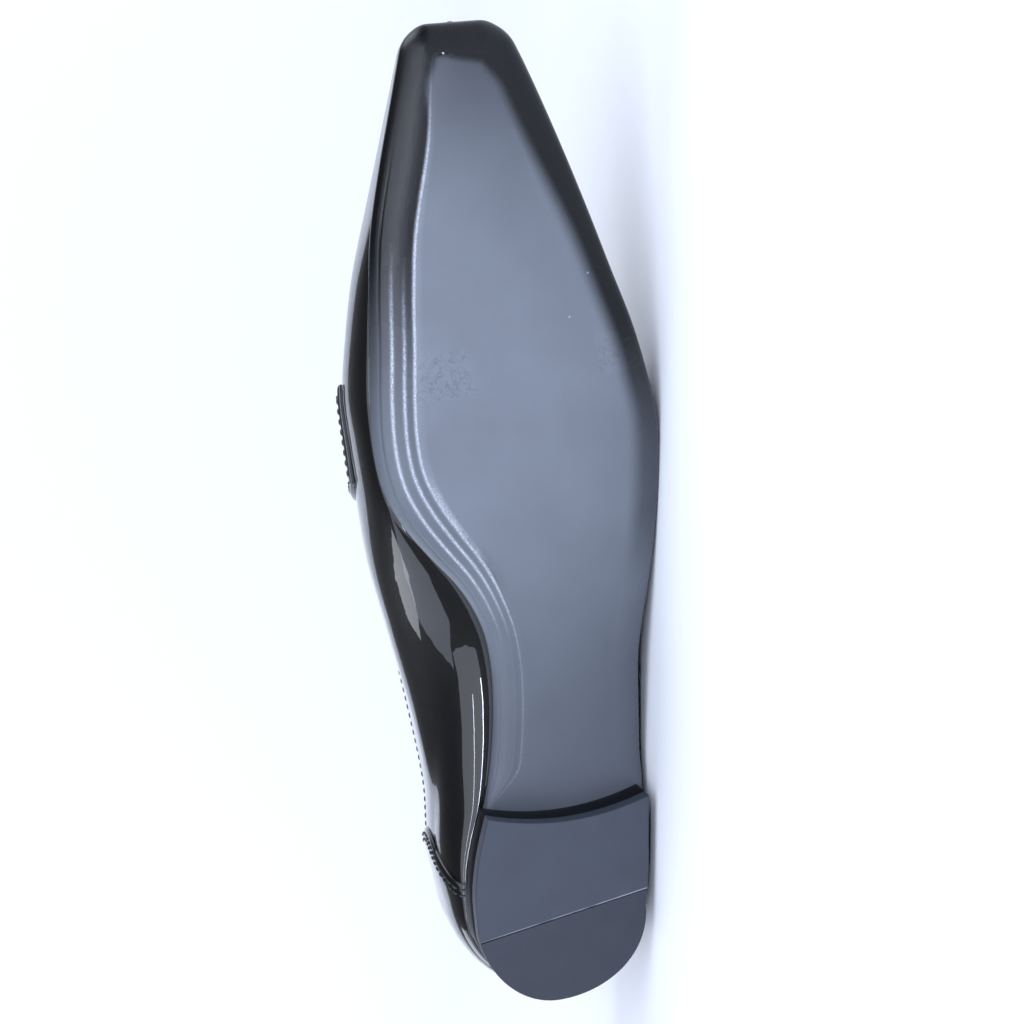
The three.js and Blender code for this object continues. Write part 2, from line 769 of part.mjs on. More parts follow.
const shoe = new THREE.Group();
for (const [name, geometry, finish] of pieces) {
  const mesh = new THREE.Mesh(cleaned(geometry), new THREE.MeshStandardMaterial(finish));
  mesh.name = name;
  shoe.add(mesh);
}

// Centre of mass of all pieces, from the signed volumes under their triangles
function balancePoint() {
  const centre = new THREE.Vector3();
  let total = 0;
  pieces.forEach(([, , , density], k) => {
    const { index, attributes } = shoe.children[k].geometry;
    const corner = (i) => new THREE.Vector3().fromBufferAttribute(attributes.position, index.getX(i));
    for (let i = 0; i < index.count; i += 3) {
      const [a, b, c] = [corner(i), corner(i + 1), corner(i + 2)];
      const weight = density * a.dot(b.clone().cross(c)) / 6;
      centre.addScaledVector(a.clone().add(b).add(c), weight / 4);
      total += weight;
    }
  });
  return centre.divideScalar(total);
}

// The face of the shoe's convex hull that it lies on: the one on the outer side that the centre
// of mass is straight above
function restingFace() {
  const points = shoe.children.flatMap(({ geometry }) => {
    const { position } = geometry.attributes;
    return Array.from({ length: position.count }, (_, i) => (
      new THREE.Vector3().fromBufferAttribute(position, i)
    ));
  });
  const centre = balancePoint();
  const ray = new THREE.Ray();
  for (const face of new ConvexHull().setFromPoints(points).faces) {
    const corners = [face.edge, face.edge.next, face.edge.prev].map((edge) => edge.head().point);
    ray.set(centre, face.normal);
    if (face.normal.y > 0.7 && ray.intersectTriangle(...corners, false, new THREE.Vector3())) {
      return { normal: face.normal, corners, centre };
    }
  }
  throw new Error('The shoe has no face to lie on at its outer side');
}

// Lays the shoe on its outer side, length along X, with the box's bottom centre at the origin
const down = restingFace().normal;
const forwards = new THREE.Vector3(1, 0, 0);
forwards.addScaledVector(down, -forwards.dot(down)).normalize();
const up = down.clone().negate();
const turn = new THREE.Matrix4().makeBasis(forwards, up.clone().cross(forwards), up).transpose();
shoe.quaternion.setFromRotationMatrix(turn);
shoe.updateMatrixWorld(true);
const box = new THREE.Box3().setFromObject(shoe, true);
const middle = box.getCenter(new THREE.Vector3());
shoe.position.set(-middle.x, -middle.y, -box.min.z);

export default shoe;
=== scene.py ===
import json
import math

import bmesh
import bpy
import numpy as np
from mathutils import Matrix, Vector
from mathutils.bvhtree import BVHTree


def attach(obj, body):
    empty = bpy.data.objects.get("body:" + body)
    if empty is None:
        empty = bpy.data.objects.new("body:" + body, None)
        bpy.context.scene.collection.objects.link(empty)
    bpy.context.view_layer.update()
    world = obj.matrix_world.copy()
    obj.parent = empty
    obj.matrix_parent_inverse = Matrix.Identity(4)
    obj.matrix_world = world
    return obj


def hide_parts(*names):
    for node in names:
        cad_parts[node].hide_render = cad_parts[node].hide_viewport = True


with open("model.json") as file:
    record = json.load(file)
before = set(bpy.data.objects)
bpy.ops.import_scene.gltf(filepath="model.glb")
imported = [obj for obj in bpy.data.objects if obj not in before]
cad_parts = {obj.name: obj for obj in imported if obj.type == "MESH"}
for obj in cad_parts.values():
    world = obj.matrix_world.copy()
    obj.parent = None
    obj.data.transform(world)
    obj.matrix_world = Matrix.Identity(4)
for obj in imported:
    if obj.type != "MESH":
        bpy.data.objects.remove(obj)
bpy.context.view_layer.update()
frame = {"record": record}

# Camera. The shoe lies on its outer side, so the lens looks almost square at the sole, a little
# from the arch and the toe, and is rolled until the toe points up. Sizes below are millimetres in
# the standing shoe: x from the heel's back to the toe, y towards the outer side, z up.
MM = 0.001
EYE_AT, AIM_AT = (248.4, -140.2, -653.2), (156.0, 0.0, 25.0)
ROLL_DEGREES, LENS_MM, SENSOR_MM, NEAREST_SEEN = 5.4, 75.75, 36, 0.05
spots = {m["name"]: m for m in frame["record"]["mounts"]}
heel_at = np.array(spots["heel_spot"]["pos_m"])
tread_at = np.array(spots["forefoot_spot"]["pos_m"])
heel_spot, tread_spot = (45.0, 3.0), (208.572, 0.0)

up = -np.array(spots["heel_spot"]["axis"])
up /= np.linalg.norm(up)
stride = tread_at - heel_at
stride -= up * (stride @ up)
stride /= np.linalg.norm(stride)
turn = math.atan2(heel_spot[1] - tread_spot[1], tread_spot[0] - heel_spot[0])
ahead = math.cos(turn) * stride + math.sin(turn) * np.cross(up, stride)
outward = np.cross(up, ahead)
shoe_axes = np.array([ahead, outward, up])
origin = heel_at - MM * (heel_spot[0] * ahead + heel_spot[1] * outward)


def in_room(points):
    """Points of the standing shoe, in millimetres, at their place in the room."""
    return origin + MM * np.asarray(points, float) @ shoe_axes


eye, aim = in_room(EYE_AT), in_room(AIM_AT)
lean = math.radians(ROLL_DEGREES)
back = (eye - aim) / np.linalg.norm(eye - aim)
toeward = ahead - back * (ahead @ back)
toeward /= np.linalg.norm(toeward)
picture_up = math.cos(lean) * toeward + math.sin(lean) * np.cross(toeward, back)
picture_right = np.cross(picture_up, back)

lens = bpy.data.cameras.new("camera")
lens.lens = LENS_MM
lens.sensor_width = SENSOR_MM
lens.clip_start = NEAREST_SEEN
camera = bpy.data.objects.new("camera", lens)
camera.matrix_world = Matrix([
    [picture_right[i], picture_up[i], back[i], eye[i]] for i in range(3)
] + [[0, 0, 0, 1]])
bpy.context.scene.collection.objects.link(camera)
bpy.context.scene.camera = camera


# Studio. A white sweep of paper in a dim white room. Two panels light the paper behind the shoe,
# a wide one beside the camera gives the sole its sheen and one the heel's side its grey, and two
# narrow strips draw bright streaks in the lacquer.
def linear(colour):
    """sRGB hex colour as the linear RGBA that a shader takes."""
    parts = [int(colour[i:i + 2], 16) / 255 for i in (1, 3, 5)]
    return [c / 12.92 if c <= 0.04045 else ((c + 0.055) / 1.055) ** 2.4 for c in parts] + [1.0]


def add(tree, kind, sockets=None, **settings):
    """Adds a node. sockets gives each input a value, or the output that feeds it."""
    node = tree.nodes.new(kind)
    for name, value in settings.items():
        setattr(node, name, value)
    for socket, value in (sockets or {}).items():
        if isinstance(value, bpy.types.NodeSocket):
            tree.links.new(value, node.inputs[socket])
        else:
            node.inputs[socket].default_value = value
    return node


def finish_of(name, **sockets):
    """New material with one Principled shader. Returns the material, its tree and the shader."""
    material = bpy.data.materials.new(name)
    material.use_nodes = True
    tree = material.node_tree
    tree.nodes.clear()
    shader = add(tree, "ShaderNodeBsdfPrincipled")
    for socket, value in sockets.items():
        shader.inputs[socket.replace("_", " ")].default_value = value
    add(tree, "ShaderNodeOutputMaterial", {"Surface": shader.outputs[0]})
    return material, tree, shader


def mesh_object(name, points, faces, *materials):
    """Smooth-shaded object from points in the room."""
    mesh = bpy.data.meshes.new(name)
    mesh.from_pydata([tuple(p) for p in points], [], faces)
    mesh.polygons.foreach_set("use_smooth", [True] * len(mesh.polygons))
    for material in materials:
        mesh.materials.append(material)
    obj = bpy.data.objects.new(name, mesh)
    bpy.context.scene.collection.objects.link(obj)
    return obj


# Background paper: matt, and a little cooler than the light
paper, _, paper_shader = finish_of("matt_paper", Roughness=0.9)
paper_shader.inputs["Base Color"].default_value = linear("#f0f2f5")
paper_shader.inputs["Specular IOR Level"].default_value = 0.1
SWEEP_HALF, SWEEP_FRONT, SWEEP_BACK, SWEEP_RADIUS, SWEEP_TOP = 4.0, -5.0, 0.55, 0.7, 0.9
SWEEP_STEPS = 12
ROOM_LIGHT = 0.17
side_view = [(SWEEP_FRONT, 0.0), (SWEEP_BACK, 0.0)]
for step in range(1, SWEEP_STEPS + 1):
    angle = step / SWEEP_STEPS * math.pi / 2
    side_view.append((
        SWEEP_BACK + SWEEP_RADIUS * math.sin(angle), SWEEP_RADIUS * (1 - math.cos(angle)),
    ))
side_view.append((SWEEP_BACK + SWEEP_RADIUS, SWEEP_TOP))
sweep_points = [(x, y, z) for y, z in side_view for x in (-SWEEP_HALF, SWEEP_HALF)]
sweep_faces = [(2 * i, 2 * i + 1, 2 * i + 3, 2 * i + 2) for i in range(len(side_view) - 1)]
mesh_object("paper_sweep", sweep_points, sweep_faces, paper)

world = bpy.data.worlds.new("white_room")
world.use_nodes = True
world.node_tree.nodes["Background"].inputs["Color"].default_value = linear("#eef2f8")
world.node_tree.nodes["Background"].inputs["Strength"].default_value = ROOM_LIGHT
bpy.context.scene.world = world
bpy.context.scene.view_settings.view_transform = "Standard"


def panel(name, at, towards, width, height, power, colour):
    """Rectangular studio light at a place in the room, facing another. Sizes are in metres."""
    lamp = bpy.data.lights.new(name, "AREA")
    lamp.shape = "RECTANGLE"
    lamp.size, lamp.size_y = width, height
    lamp.energy = power
    lamp.color = linear(colour)[:3]
    obj = bpy.data.objects.new(name, lamp)
    obj.location = at
    obj.rotation_mode = "QUATERNION"
    obj.rotation_quaternion = (Vector(towards) - Vector(at)).to_track_quat("-Z", "Y")
    bpy.context.scene.collection.objects.link(obj)


shoe_middle = tuple(in_room([156.0, 0.0, 20.0]))
behind_shoe, above_shoe = (0.0, 0.35, 0.1), (0.0, 0.0, 0.07)
panel("left_panel", (-1.3, 0.35, 0.9), behind_shoe, 1.0, 0.8, 11, "#eef3ff")
panel("right_panel", (1.3, 0.35, 0.9), behind_shoe, 1.0, 0.8, 11, "#eef3ff")
panel("front_panel", (0.25, -1.15, 0.85), shoe_middle, 3.4, 1.2, 31, "#e0e7f6")
panel("heel_side_panel", (-1.45, -0.35, 0.75), shoe_middle, 1.2, 1.0, 9, "#d6e0f6")
panel("streak_strip_low", (0.1, -1.0, 0.26), above_shoe, 1.6, 0.02, 7, "#dfe8ff")
panel("streak_strip_high", (0.1, -0.95, 0.60), above_shoe, 1.6, 0.015, 3, "#dfe8ff")

# Outsole. One long leather sole with a square toe, dyed black and waxed. It is cut from bend
# leather, its edge is rounded down to a thin rim, and a closed groove hides the seam near the
# edge. It is cemented to the upper, narrow at the waist and full at the ball.

# Sizes of the whole shoe: the sole's length, its width at the ball, the heel's height, how far the
# toe lifts off the ground, and the heights of the instep and of the back above the sole
LENGTH, BALL, HEEL, SPRING = 312.0, 92.0, 16.0, 12.0
INSTEP, BACK_HEIGHT = 62.0, 60.0
# The sole's thickness, the radius of the toe's corners, the length of the round of the heel, where
# the straight part of the side ends, and the room left between neighbours
TREAD_THICK, WAIST_THICK = 7.6, 5.0
CORNER, ROUND, SIDE_END = 8.0, 27.0, 0.95 * LENGTH
GAP = 0.3
# Shares of the length: the heel's breast, and the tread that lies on the ground
BREAST_AT, TREAD_FROM, TREAD_TO = 0.19, 0.625, 0.712
HEEL_ASIDE, TOE_ASIDE = -0.046 * BALL, -0.061 * BALL

# Share of the length, then inner and outer edge as shares of the ball width
sole_rows = [
    (0.087, -0.314, 0.293), (0.122, -0.304, 0.318), (0.160, -0.266, 0.340),
    (0.199, -0.212, 0.362), (0.240, -0.178, 0.372), (0.288, -0.155, 0.379),
    (0.337, -0.148, 0.386), (0.378, -0.162, 0.408), (0.410, -0.197, 0.430),
    (0.439, -0.252, 0.450), (0.468, -0.330, 0.467), (0.497, -0.402, 0.482),
    (0.526, -0.455, 0.494), (0.554, -0.484, 0.500), (0.590, -0.497, 0.501),
    (0.631, -0.493, 0.480), (0.686, -0.475, 0.440), (0.744, -0.458, 0.380),
    (0.801, -0.430, 0.324), (0.859, -0.379, 0.266), (0.913, -0.323, 0.210),
    (0.962, -0.271, 0.156), (1.000, -0.229, 0.108),
]


def smooth(rows, k):
    """Smooth curve through column k of a table whose first column is the share of the length."""
    table = np.array(rows, float)
    xs, ys = table[:, 0], table[:, k]
    before = np.maximum(np.arange(len(xs)) - 1, 0)
    after = np.minimum(np.arange(len(xs)) + 1, len(xs) - 1)
    slopes = (ys[after] - ys[before]) / (xs[after] - xs[before])

    def at(along):
        """Value at a share of the length."""
        i = np.clip(np.searchsorted(xs, along) - 1, 0, len(xs) - 2)
        span = xs[i + 1] - xs[i]
        t = np.clip((along - xs[i]) / span, 0, 1)
        h = t * t * (3 - 2 * t)
        bend = span * (slopes[i] * t * (1 - t) ** 2 - slopes[i + 1] * t * t * (1 - t))
        return ys[i] * (1 - h) + ys[i + 1] * h + bend

    return at


def fade(x, start, end):
    """Soft step from 0 to 1 between two shares of the length."""
    t = np.clip((np.asarray(x, float) / LENGTH - start) / (end - start), 0, 1)
    return t * t * (3 - 2 * t)


def tread_height(x):
    """Height of the sole's underside above the ground."""
    past = np.maximum(np.asarray(x, float) / LENGTH - TREAD_TO, 0) / (1 - TREAD_TO)
    return HEEL * (1 - fade(x, BREAST_AT, TREAD_FROM)) + SPRING * past ** 2


def sole_thick(x):
    """Thickness of the sole, thin under the waist."""
    return WAIST_THICK + (TREAD_THICK - WAIST_THICK) * fade(x, 0.4, TREAD_FROM)


def feather(x):
    """Height of the line where the upper meets the sole."""
    return tread_height(x) + sole_thick(x) + GAP


def no_inset(x):
    """Zero for each x, for a line that keeps to the edge."""
    return 0.0 * x


def half_outline(edge, w, back=0.0, front=LENGTH, inset=no_inset):
    """Plan points of one side at stations w: 0 to 1 round the heel, 1 to 3 along the side,
    3 to 4 round the toe's corner and 4 to 5 across the front to its middle."""
    side = np.sign(edge(0.5))

    def shifted(x):
        """Edge at x, moved inwards square to itself."""
        along = np.minimum(x / LENGTH, 0.995)
        slope = (edge(along + 0.004) - edge(along - 0.004)) / (0.008 * LENGTH)
        return edge(along) - side * inset(x) * np.hypot(1, slope)

    back_inset, toe_inset = inset(np.float64(0)), inset(np.float64(front))
    radius = max(CORNER - toe_inset, 2.0)
    tip = front - toe_inset

    heel_angle = np.clip(w, 0, 1) * math.pi / 2
    middle = HEEL_ASIDE * np.cos(heel_angle)
    round_edge = edge(ROUND / LENGTH) - side * back_inset
    x = ROUND - (ROUND - back - back_inset) * np.cos(heel_angle)
    y = middle + (round_edge - middle) * np.sin(heel_angle)

    side_x = ROUND + (SIDE_END - ROUND) * np.clip(w - 1, 0, 1)
    side_x = side_x + (tip - radius - SIDE_END) * np.clip(w - 2, 0, 1)
    x = np.where(w > 1, side_x, x)
    y = np.where(w > 1, shifted(side_x), y)

    toe_angle = np.clip(w - 3, 0, 1) * math.pi / 2
    toe_x = tip - radius * (1 - np.sin(toe_angle))
    toe_y = shifted(toe_x) - side * radius * (1 - np.cos(toe_angle))
    toe_y = toe_y + (TOE_ASIDE - toe_y) * np.clip(w - 4, 0, 1)
    return np.where(w > 3, toe_x, x), np.where(w > 3, toe_y, y)


def scaled(rows, k):
    """Smooth curve through column k of a table of shares of the ball width, in millimetres."""
    curve = smooth(rows, k)
    return lambda along: curve(along) * BALL


sole_edge = {-1: scaled(sole_rows, 1), 1: scaled(sole_rows, 2)}
# Steps across the sole, and stations round it, closest where the outline turns
ACROSS = 24
stations = np.concatenate([
    np.linspace(0, 1, 24, endpoint=False), np.linspace(1, 2, 128, endpoint=False),
    np.linspace(2, 3, 5, endpoint=False), np.linspace(3, 4, 14, endpoint=False),
    np.linspace(4, 5, ACROSS // 2 + 1),
])


def grid_faces(rows, cols, closed=False, flip=False, start=0):
    """Quads of a grid of points stored row by row. closed joins the last column to the first."""
    faces = []
    for r in range(rows - 1):
        for c in range(cols if closed else cols - 1):
            n = (c + 1) % cols
            quad = (r * cols + c, r * cols + n, (r + 1) * cols + n, (r + 1) * cols + c)
            quad = tuple(start + k for k in quad)
            faces.append(quad[::-1] if flip else quad)
    return faces


def shoe_piece(name, points, faces, *materials, weld=0.004, sharp=40.0):
    """Object from points of the standing shoe in millimetres. It keeps them on its vertices as
    shoe_mm, for patterns, welds what meets, and splits shading at edges above sharp degrees."""
    mesh = bpy.data.meshes.new(name)
    build = bmesh.new()
    made = [build.verts.new(p) for p in np.asarray(points, float)]
    for face in faces:
        build.faces.new([made[i] for i in face])
    bmesh.ops.remove_doubles(build, verts=build.verts, dist=weld)
    bmesh.ops.dissolve_degenerate(build, edges=build.edges, dist=weld)
    bmesh.ops.recalc_face_normals(build, faces=build.faces)
    build.to_mesh(mesh)
    build.free()
    spots_mm = np.zeros(len(mesh.vertices) * 3)
    mesh.vertices.foreach_get("co", spots_mm)
    mesh.attributes.new("shoe_mm", "FLOAT_VECTOR", "POINT").data.foreach_set("vector", spots_mm)
    placed = in_room(spots_mm.reshape(-1, 3))
    # The thread that the shoe lies on is pressed flat by the floor
    placed[:, 2] = np.maximum(placed[:, 2], 0.0)
    mesh.vertices.foreach_set("co", placed.ravel())
    mesh.set_sharp_from_angle(angle=math.radians(sharp))
    mesh.polygons.foreach_set("use_smooth", [len(f.vertices) < 5 for f in mesh.polygons])
    for material in materials:
        mesh.materials.append(material)
    obj = bpy.data.objects.new(name, mesh)
    bpy.context.scene.collection.objects.link(obj)
    return obj


# The bevel's width, how far it rises to the rim, and how far the tread is crowned. Its rings are
# closest where the ribs and the groove lie.
BEVEL_WIDE, BEVEL_RISE, CROWN_RISE = 14.0, 6.5, 1.0
bevel_steps = np.r_[np.arange(14.0, 5.2, -0.3), np.arange(5.2, 3.4, -0.6),
                    np.arange(3.4, 1.9, -0.2), 1.5, 1.1, 0.7, 0.4, 0.15, 0.0]
TOP_INSET = 0.45


def border(x):
    """How much of the bevel there is along the shoe: none under the heel, all at the ball."""
    waist = 0.06 + 0.64 * fade(x, BREAST_AT, BREAST_AT + 0.05)
    return waist + (1 - waist) * fade(x, 0.4, 0.55)


def sole_loop(inset, height):
    """Both sides of the sole at one inset, as one loop of points."""
    loop = []
    for side, w in ((-1, stations), (1, stations[-2:0:-1])):
        x, y = half_outline(sole_edge[side], w, inset=inset)
        loop.append(np.stack([x, y, height(x)], axis=1))
    return np.concatenate(loop)


def toe_taper(x):
    """Share of its width that the bevel keeps towards the square toe."""
    return 1 - 0.28 * fade(x, 0.86, 0.98)


def along_rib(x, runs_to):
    """Strength of a rib along the shoe, up to the share of the length that it runs to."""
    return (0.4 + 0.6 * fade(x, 0.34, 0.46)) * (1 - fade(x, runs_to - 0.15, runs_to))


# The inner side's bevel keeps low ribs, which the sole's colour paints with highlight streaks,
# and a fine groove that hides the seam. Each: distance in from the edge, height, half width, and
# how far towards the toe it runs
ribs = [(13.3, 0.16, 0.55, 0.98), (10.1, 0.12, 0.5, 0.78), (6.3, 0.07, 0.5, 0.80),
        (2.7, -0.28, 0.25, 0.92)]
inner_side = np.concatenate([np.interp(stations, [0.9, 1.1, 3.2, 3.9], [0, 1, 1, 0]),
                             0 * stations[-2:0:-1]])
sole_rings = []
for deep in bevel_steps:
    share = 1 - deep / BEVEL_WIDE
    rise = CROWN_RISE + (BEVEL_RISE - CROWN_RISE) * (1 - math.sqrt(1 - share * share))
    ring = sole_loop(
        lambda x, d=deep: border(x) * toe_taper(x) * d,
        lambda x, r=rise: tread_height(x) + border(x) * r,
    )
    for middle, high, half, runs_to in ribs:
        bump = high * math.exp(-((deep - middle) / half) ** 2)
        ring[:, 2] -= bump * inner_side * along_rib(ring[:, 0], runs_to)
    sole_rings.append(ring)
for deep, below in ((0.0, TOP_INSET), (0.12, 0.14), (TOP_INSET, 0.0)):
    sole_rings.append(sole_loop(
        lambda x, d=deep: d + no_inset(x),
        lambda x, b=below: tread_height(x) + sole_thick(x) - b,
    ))
sole_rings = np.array(sole_rings)


def sole_face(inset, height, crown=0.0):
    """Grid across the sole from its inner to its outer edge. The edges rise by crown."""
    w = stations[stations <= 4]
    xi, yi = half_outline(sole_edge[-1], w, inset=inset)
    _, yo = half_outline(sole_edge[1], w, inset=inset)
    middle = (yi + yo) / 2
    pull = np.clip(w - 2, 0, 2) / 2
    middle = middle + (TOE_ASIDE - middle[-1]) * pull * pull * (3 - 2 * pull)
    rows = []
    for k in range(ACROSS + 1):
        t = 2 * k / ACROSS
        y = yi + (middle - yi) * t if t <= 1 else middle + (yo - middle) * (t - 1)
        rows.append(np.stack([xi, y, height(xi) + crown * border(xi) * (t - 1) ** 2], axis=1))
    return np.array(rows)


def closed_layer(edge_rings, first_face, last_face):
    """Points and faces of a layer of the sole: the rings of its edge, and a grid at each end."""
    points = np.concatenate([edge_rings.reshape(-1, 3), first_face.reshape(-1, 3),
                             last_face.reshape(-1, 3)])
    rings, ring_count = edge_rings.shape[:2]
    rows, cols = first_face.shape[:2]
    faces = grid_faces(rings, ring_count, closed=True)
    faces += grid_faces(rows, cols, start=rings * ring_count)
    faces += grid_faces(rows, cols, start=rings * ring_count + rows * cols, flip=True)
    return points, faces


tread_grid = sole_face(lambda x: border(x) * toe_taper(x) * BEVEL_WIDE, tread_height, CROWN_RISE)
top_grid = sole_face(lambda x: TOP_INSET + no_inset(x), lambda x: tread_height(x) + sole_thick(x))


# Width of the band of painted shade along the bevel, along the outer side from the waist to the
# toe, and the width that it gains across the toe
SHADE_BAND_INNER, SHADE_BAND_OUTER, SHADE_BAND_OUTER_GAIN, SHADE_BAND_TOE_GAIN = 13.2, 9.5, 3.5, 3.6
RIB_SOFT, RIB_WAIST_GLOW = 0.48, 0.45


def paint_border_shade_and_streaks(obj):
    """Marks each vertex with its share of the painted shade, a darker band round the fore part's
    border where the bevel would reflect the dark room, and with its share of the painted highlight
    streaks on the ribs."""
    places = np.zeros(len(obj.data.vertices) * 3)
    obj.data.attributes["shoe_mm"].data.foreach_get("vector", places)
    x, y = places.reshape(-1, 3)[:, :2].T
    outline = sole_loop(no_inset, no_inset)[:, :2]
    nearest = np.full(len(x), 1e9)
    for start, end in zip(outline, np.roll(outline, -1, axis=0)):
        run = end - start
        t = np.clip(((x - start[0]) * run[0] + (y - start[1]) * run[1])
                    / max(run @ run, 1e-9), 0, 1)
        nearest = np.minimum(nearest, np.hypot(x - start[0] - t * run[0],
                                               y - start[1] - t * run[1]))
    inner, outer = sole_edge[-1](x / LENGTH), sole_edge[1](x / LENGTH)
    aside = np.clip(((y - inner) / (outer - inner) - 0.35) / 0.3, 0, 1)
    wide_outside = SHADE_BAND_OUTER + SHADE_BAND_OUTER_GAIN * fade(x, 0.75, 0.92)
    wide = SHADE_BAND_INNER * toe_taper(x) * (1 - aside) + wide_outside * aside
    wide = wide + SHADE_BAND_TOE_GAIN * fade(x, 0.93, 0.97)
    soft = 0.8 + 3.2 * np.maximum(aside, fade(x, 0.90, 0.95))
    t = np.clip((nearest - wide + soft) / (1.6 * soft), 0, 1)
    # Painted shade: the border band is darkened where the bevel would reflect dark surroundings
    ink_and_painted_shade = (1 - t * t * (3 - 2 * t)) * fade(x, 0.4, 0.5)
    inner_strength = 0.25 + 0.75 * fade(x, 0.55, 0.8)
    outer_strength = 0.5 + 0.5 * fade(x, 0.5, 0.7)
    ink_and_painted_shade *= (1 - aside) * inner_strength + aside * outer_strength
    ink_and_painted_shade = np.maximum(ink_and_painted_shade, 0.45 * fade(x, 0.82, 1.0))
    obj.data.attributes.new("ink_and_painted_shade", "FLOAT", "POINT").data.foreach_set("value", ink_and_painted_shade)
    deep = nearest / np.maximum(border(x) * toe_taper(x), 0.05)
    # Painted highlight: pale streaks along the inner ribs, where the lamps would glint on them
    painted_streaks = 0 * x
    # Only the first rib's painted highlight runs along the waist too; the groove after the ribs
    # gets none
    for rib, (middle, _, _, runs_to) in enumerate(ribs[:3]):
        waist = RIB_WAIST_GLOW if rib == 0 else 0.0
        painted_streaks += (np.exp(-((deep - middle) / RIB_SOFT) ** 2) * along_rib(x, runs_to)
                    * (waist + (1 - waist) * fade(x, 0.36, 0.46)))
    painted_streaks *= (1 - aside) * (x > ROUND)
    obj.data.attributes.new("painted_streaks", "FLOAT", "POINT").data.foreach_set("value", painted_streaks)


TAPE_TURN = 0.11


def tape_trace(tree, place, middle, size):
    """Film left by a strip of tape: its mask, with ragged edges, and the folds pressed in it."""
    moved = add(tree, "ShaderNodeVectorMath", {0: place, 1: (*middle, 0)}, operation="SUBTRACT")
    turned = add(tree, "ShaderNodeVectorRotate", {
        "Vector": moved.outputs[0], "Angle": TAPE_TURN,
    }, rotation_type="Z_AXIS")
    rag = add(tree, "ShaderNodeTexNoise", {"Vector": place, "Scale": 1 / 1.5, "Detail": 3.0})
    part = add(tree, "ShaderNodeSeparateXYZ", {0: turned.outputs[0]})
    mask = 1.0
    for axis, extent in enumerate(size):
        away = add(tree, "ShaderNodeMath", {0: part.outputs[axis]}, operation="ABSOLUTE")
        ragged = add(tree, "ShaderNodeMath", {
            0: rag.outputs["Fac"], 1: 1.2, 2: away.outputs[0],
        }, operation="MULTIPLY_ADD")
        inside = add(tree, "ShaderNodeMapRange", {
            "Value": ragged.outputs[0], "From Min": extent / 2 + 0.4, "From Max": extent / 2 + 0.8,
            "To Min": 1.0, "To Max": 0.0,
        })
        mask = add(tree, "ShaderNodeMath", {0: mask, 1: inside.outputs[0]},
                   operation="MULTIPLY").outputs[0]
    bent = add(tree, "ShaderNodeVectorMath", {
        0: rag.outputs["Color"], 1: (2.5, 2.5, 2.5), 2: turned.outputs[0],
    }, operation="MULTIPLY_ADD")
    folds = add(tree, "ShaderNodeTexNoise", {
        "Vector": bent.outputs[0], "Scale": 1 / 4.5, "Detail": 3.0, "Distortion": 1.2,
    })
    off_fold = add(tree, "ShaderNodeMath", {0: folds.outputs["Fac"], 1: 0.5}, operation="SUBTRACT")
    off_fold = add(tree, "ShaderNodeMath", {0: off_fold.outputs[0]}, operation="ABSOLUTE")
    crack = add(tree, "ShaderNodeMapRange", {
        "Value": off_fold.outputs[0], "From Min": 0.0, "From Max": 0.018,
        "To Min": 1.0, "To Max": 0.0,
    })
    cracked = add(tree, "ShaderNodeMath", {0: crack.outputs[0], 1: mask}, operation="MULTIPLY")
    return mask, cracked.outputs[0]


# Vegetable-tanned bend, dyed black and waxed to a satin finish. The tread's grey-blue is painted
# sheen, darker away from the ball, the band round the rounded border is painted shade, and the
# inner ribs carry painted highlight streaks. Its grain is about 0.3 mm and is drawn at 0.5 mm to
# show.
GRAIN, CLOUD = 0.5, 24.0
waxed_sole, tree, shader = finish_of("waxed_sole_leather")
shader.inputs["Specular IOR Level"].default_value = 0.3
place = add(tree, "ShaderNodeAttribute", attribute_name="shoe_mm").outputs["Vector"]
painted_border_shade = add(tree, "ShaderNodeAttribute", attribute_name="ink_and_painted_shade").outputs["Fac"]
grain = add(tree, "ShaderNodeTexNoise", {
    "Vector": place, "Scale": 1 / GRAIN, "Detail": 4.0, "Roughness": 0.6,
}).outputs["Fac"]
cloud = add(tree, "ShaderNodeTexNoise", {"Vector": place, "Scale": 1 / CLOUD}).outputs["Fac"]
# Painted sheen: the tread's grey-blue stands in for the soft light that the black leather reflects
painted_tread_sheen = add(tree, "ShaderNodeMix", {
    "Factor": cloud, 6: linear("#5e636b"), 7: linear("#6c727b"),
}, data_type="RGBA").outputs[2]
# The painted sheen grows darker away from the ball
from_ball = add(tree, "ShaderNodeVectorMath", {0: place, 1: (195.0, -14.0, 0.0)},
                operation="DISTANCE").outputs["Value"]
sheen_falloff = add(tree, "ShaderNodeMapRange", {
    "Value": from_ball, "From Min": 25.0, "From Max": 125.0, "To Min": 0.0, "To Max": 0.6,
}, interpolation_type="SMOOTHSTEP").outputs[0]
painted_tread_sheen = add(tree, "ShaderNodeMix", {
    "Factor": sheen_falloff, 6: painted_tread_sheen, 7: linear("#343840"),
}, data_type="RGBA").outputs[2]
# Painted shade: the band round the fore part's border is near black, where the bevel would reflect
# the dark room
sole_colour = add(tree, "ShaderNodeMix", {
    "Factor": painted_border_shade, 6: painted_tread_sheen, 7: linear("#08090b"),
}, data_type="RGBA").outputs[2]
film_a, cracks_a = tape_trace(tree, place, (203.4, -24.5), (14.0, 22.0))
film_b, cracks_b = tape_trace(tree, place, (205.8, 34.0), (13.0, 14.5))
film = add(tree, "ShaderNodeMath", {0: film_a, 1: film_b}, operation="MAXIMUM").outputs[0]
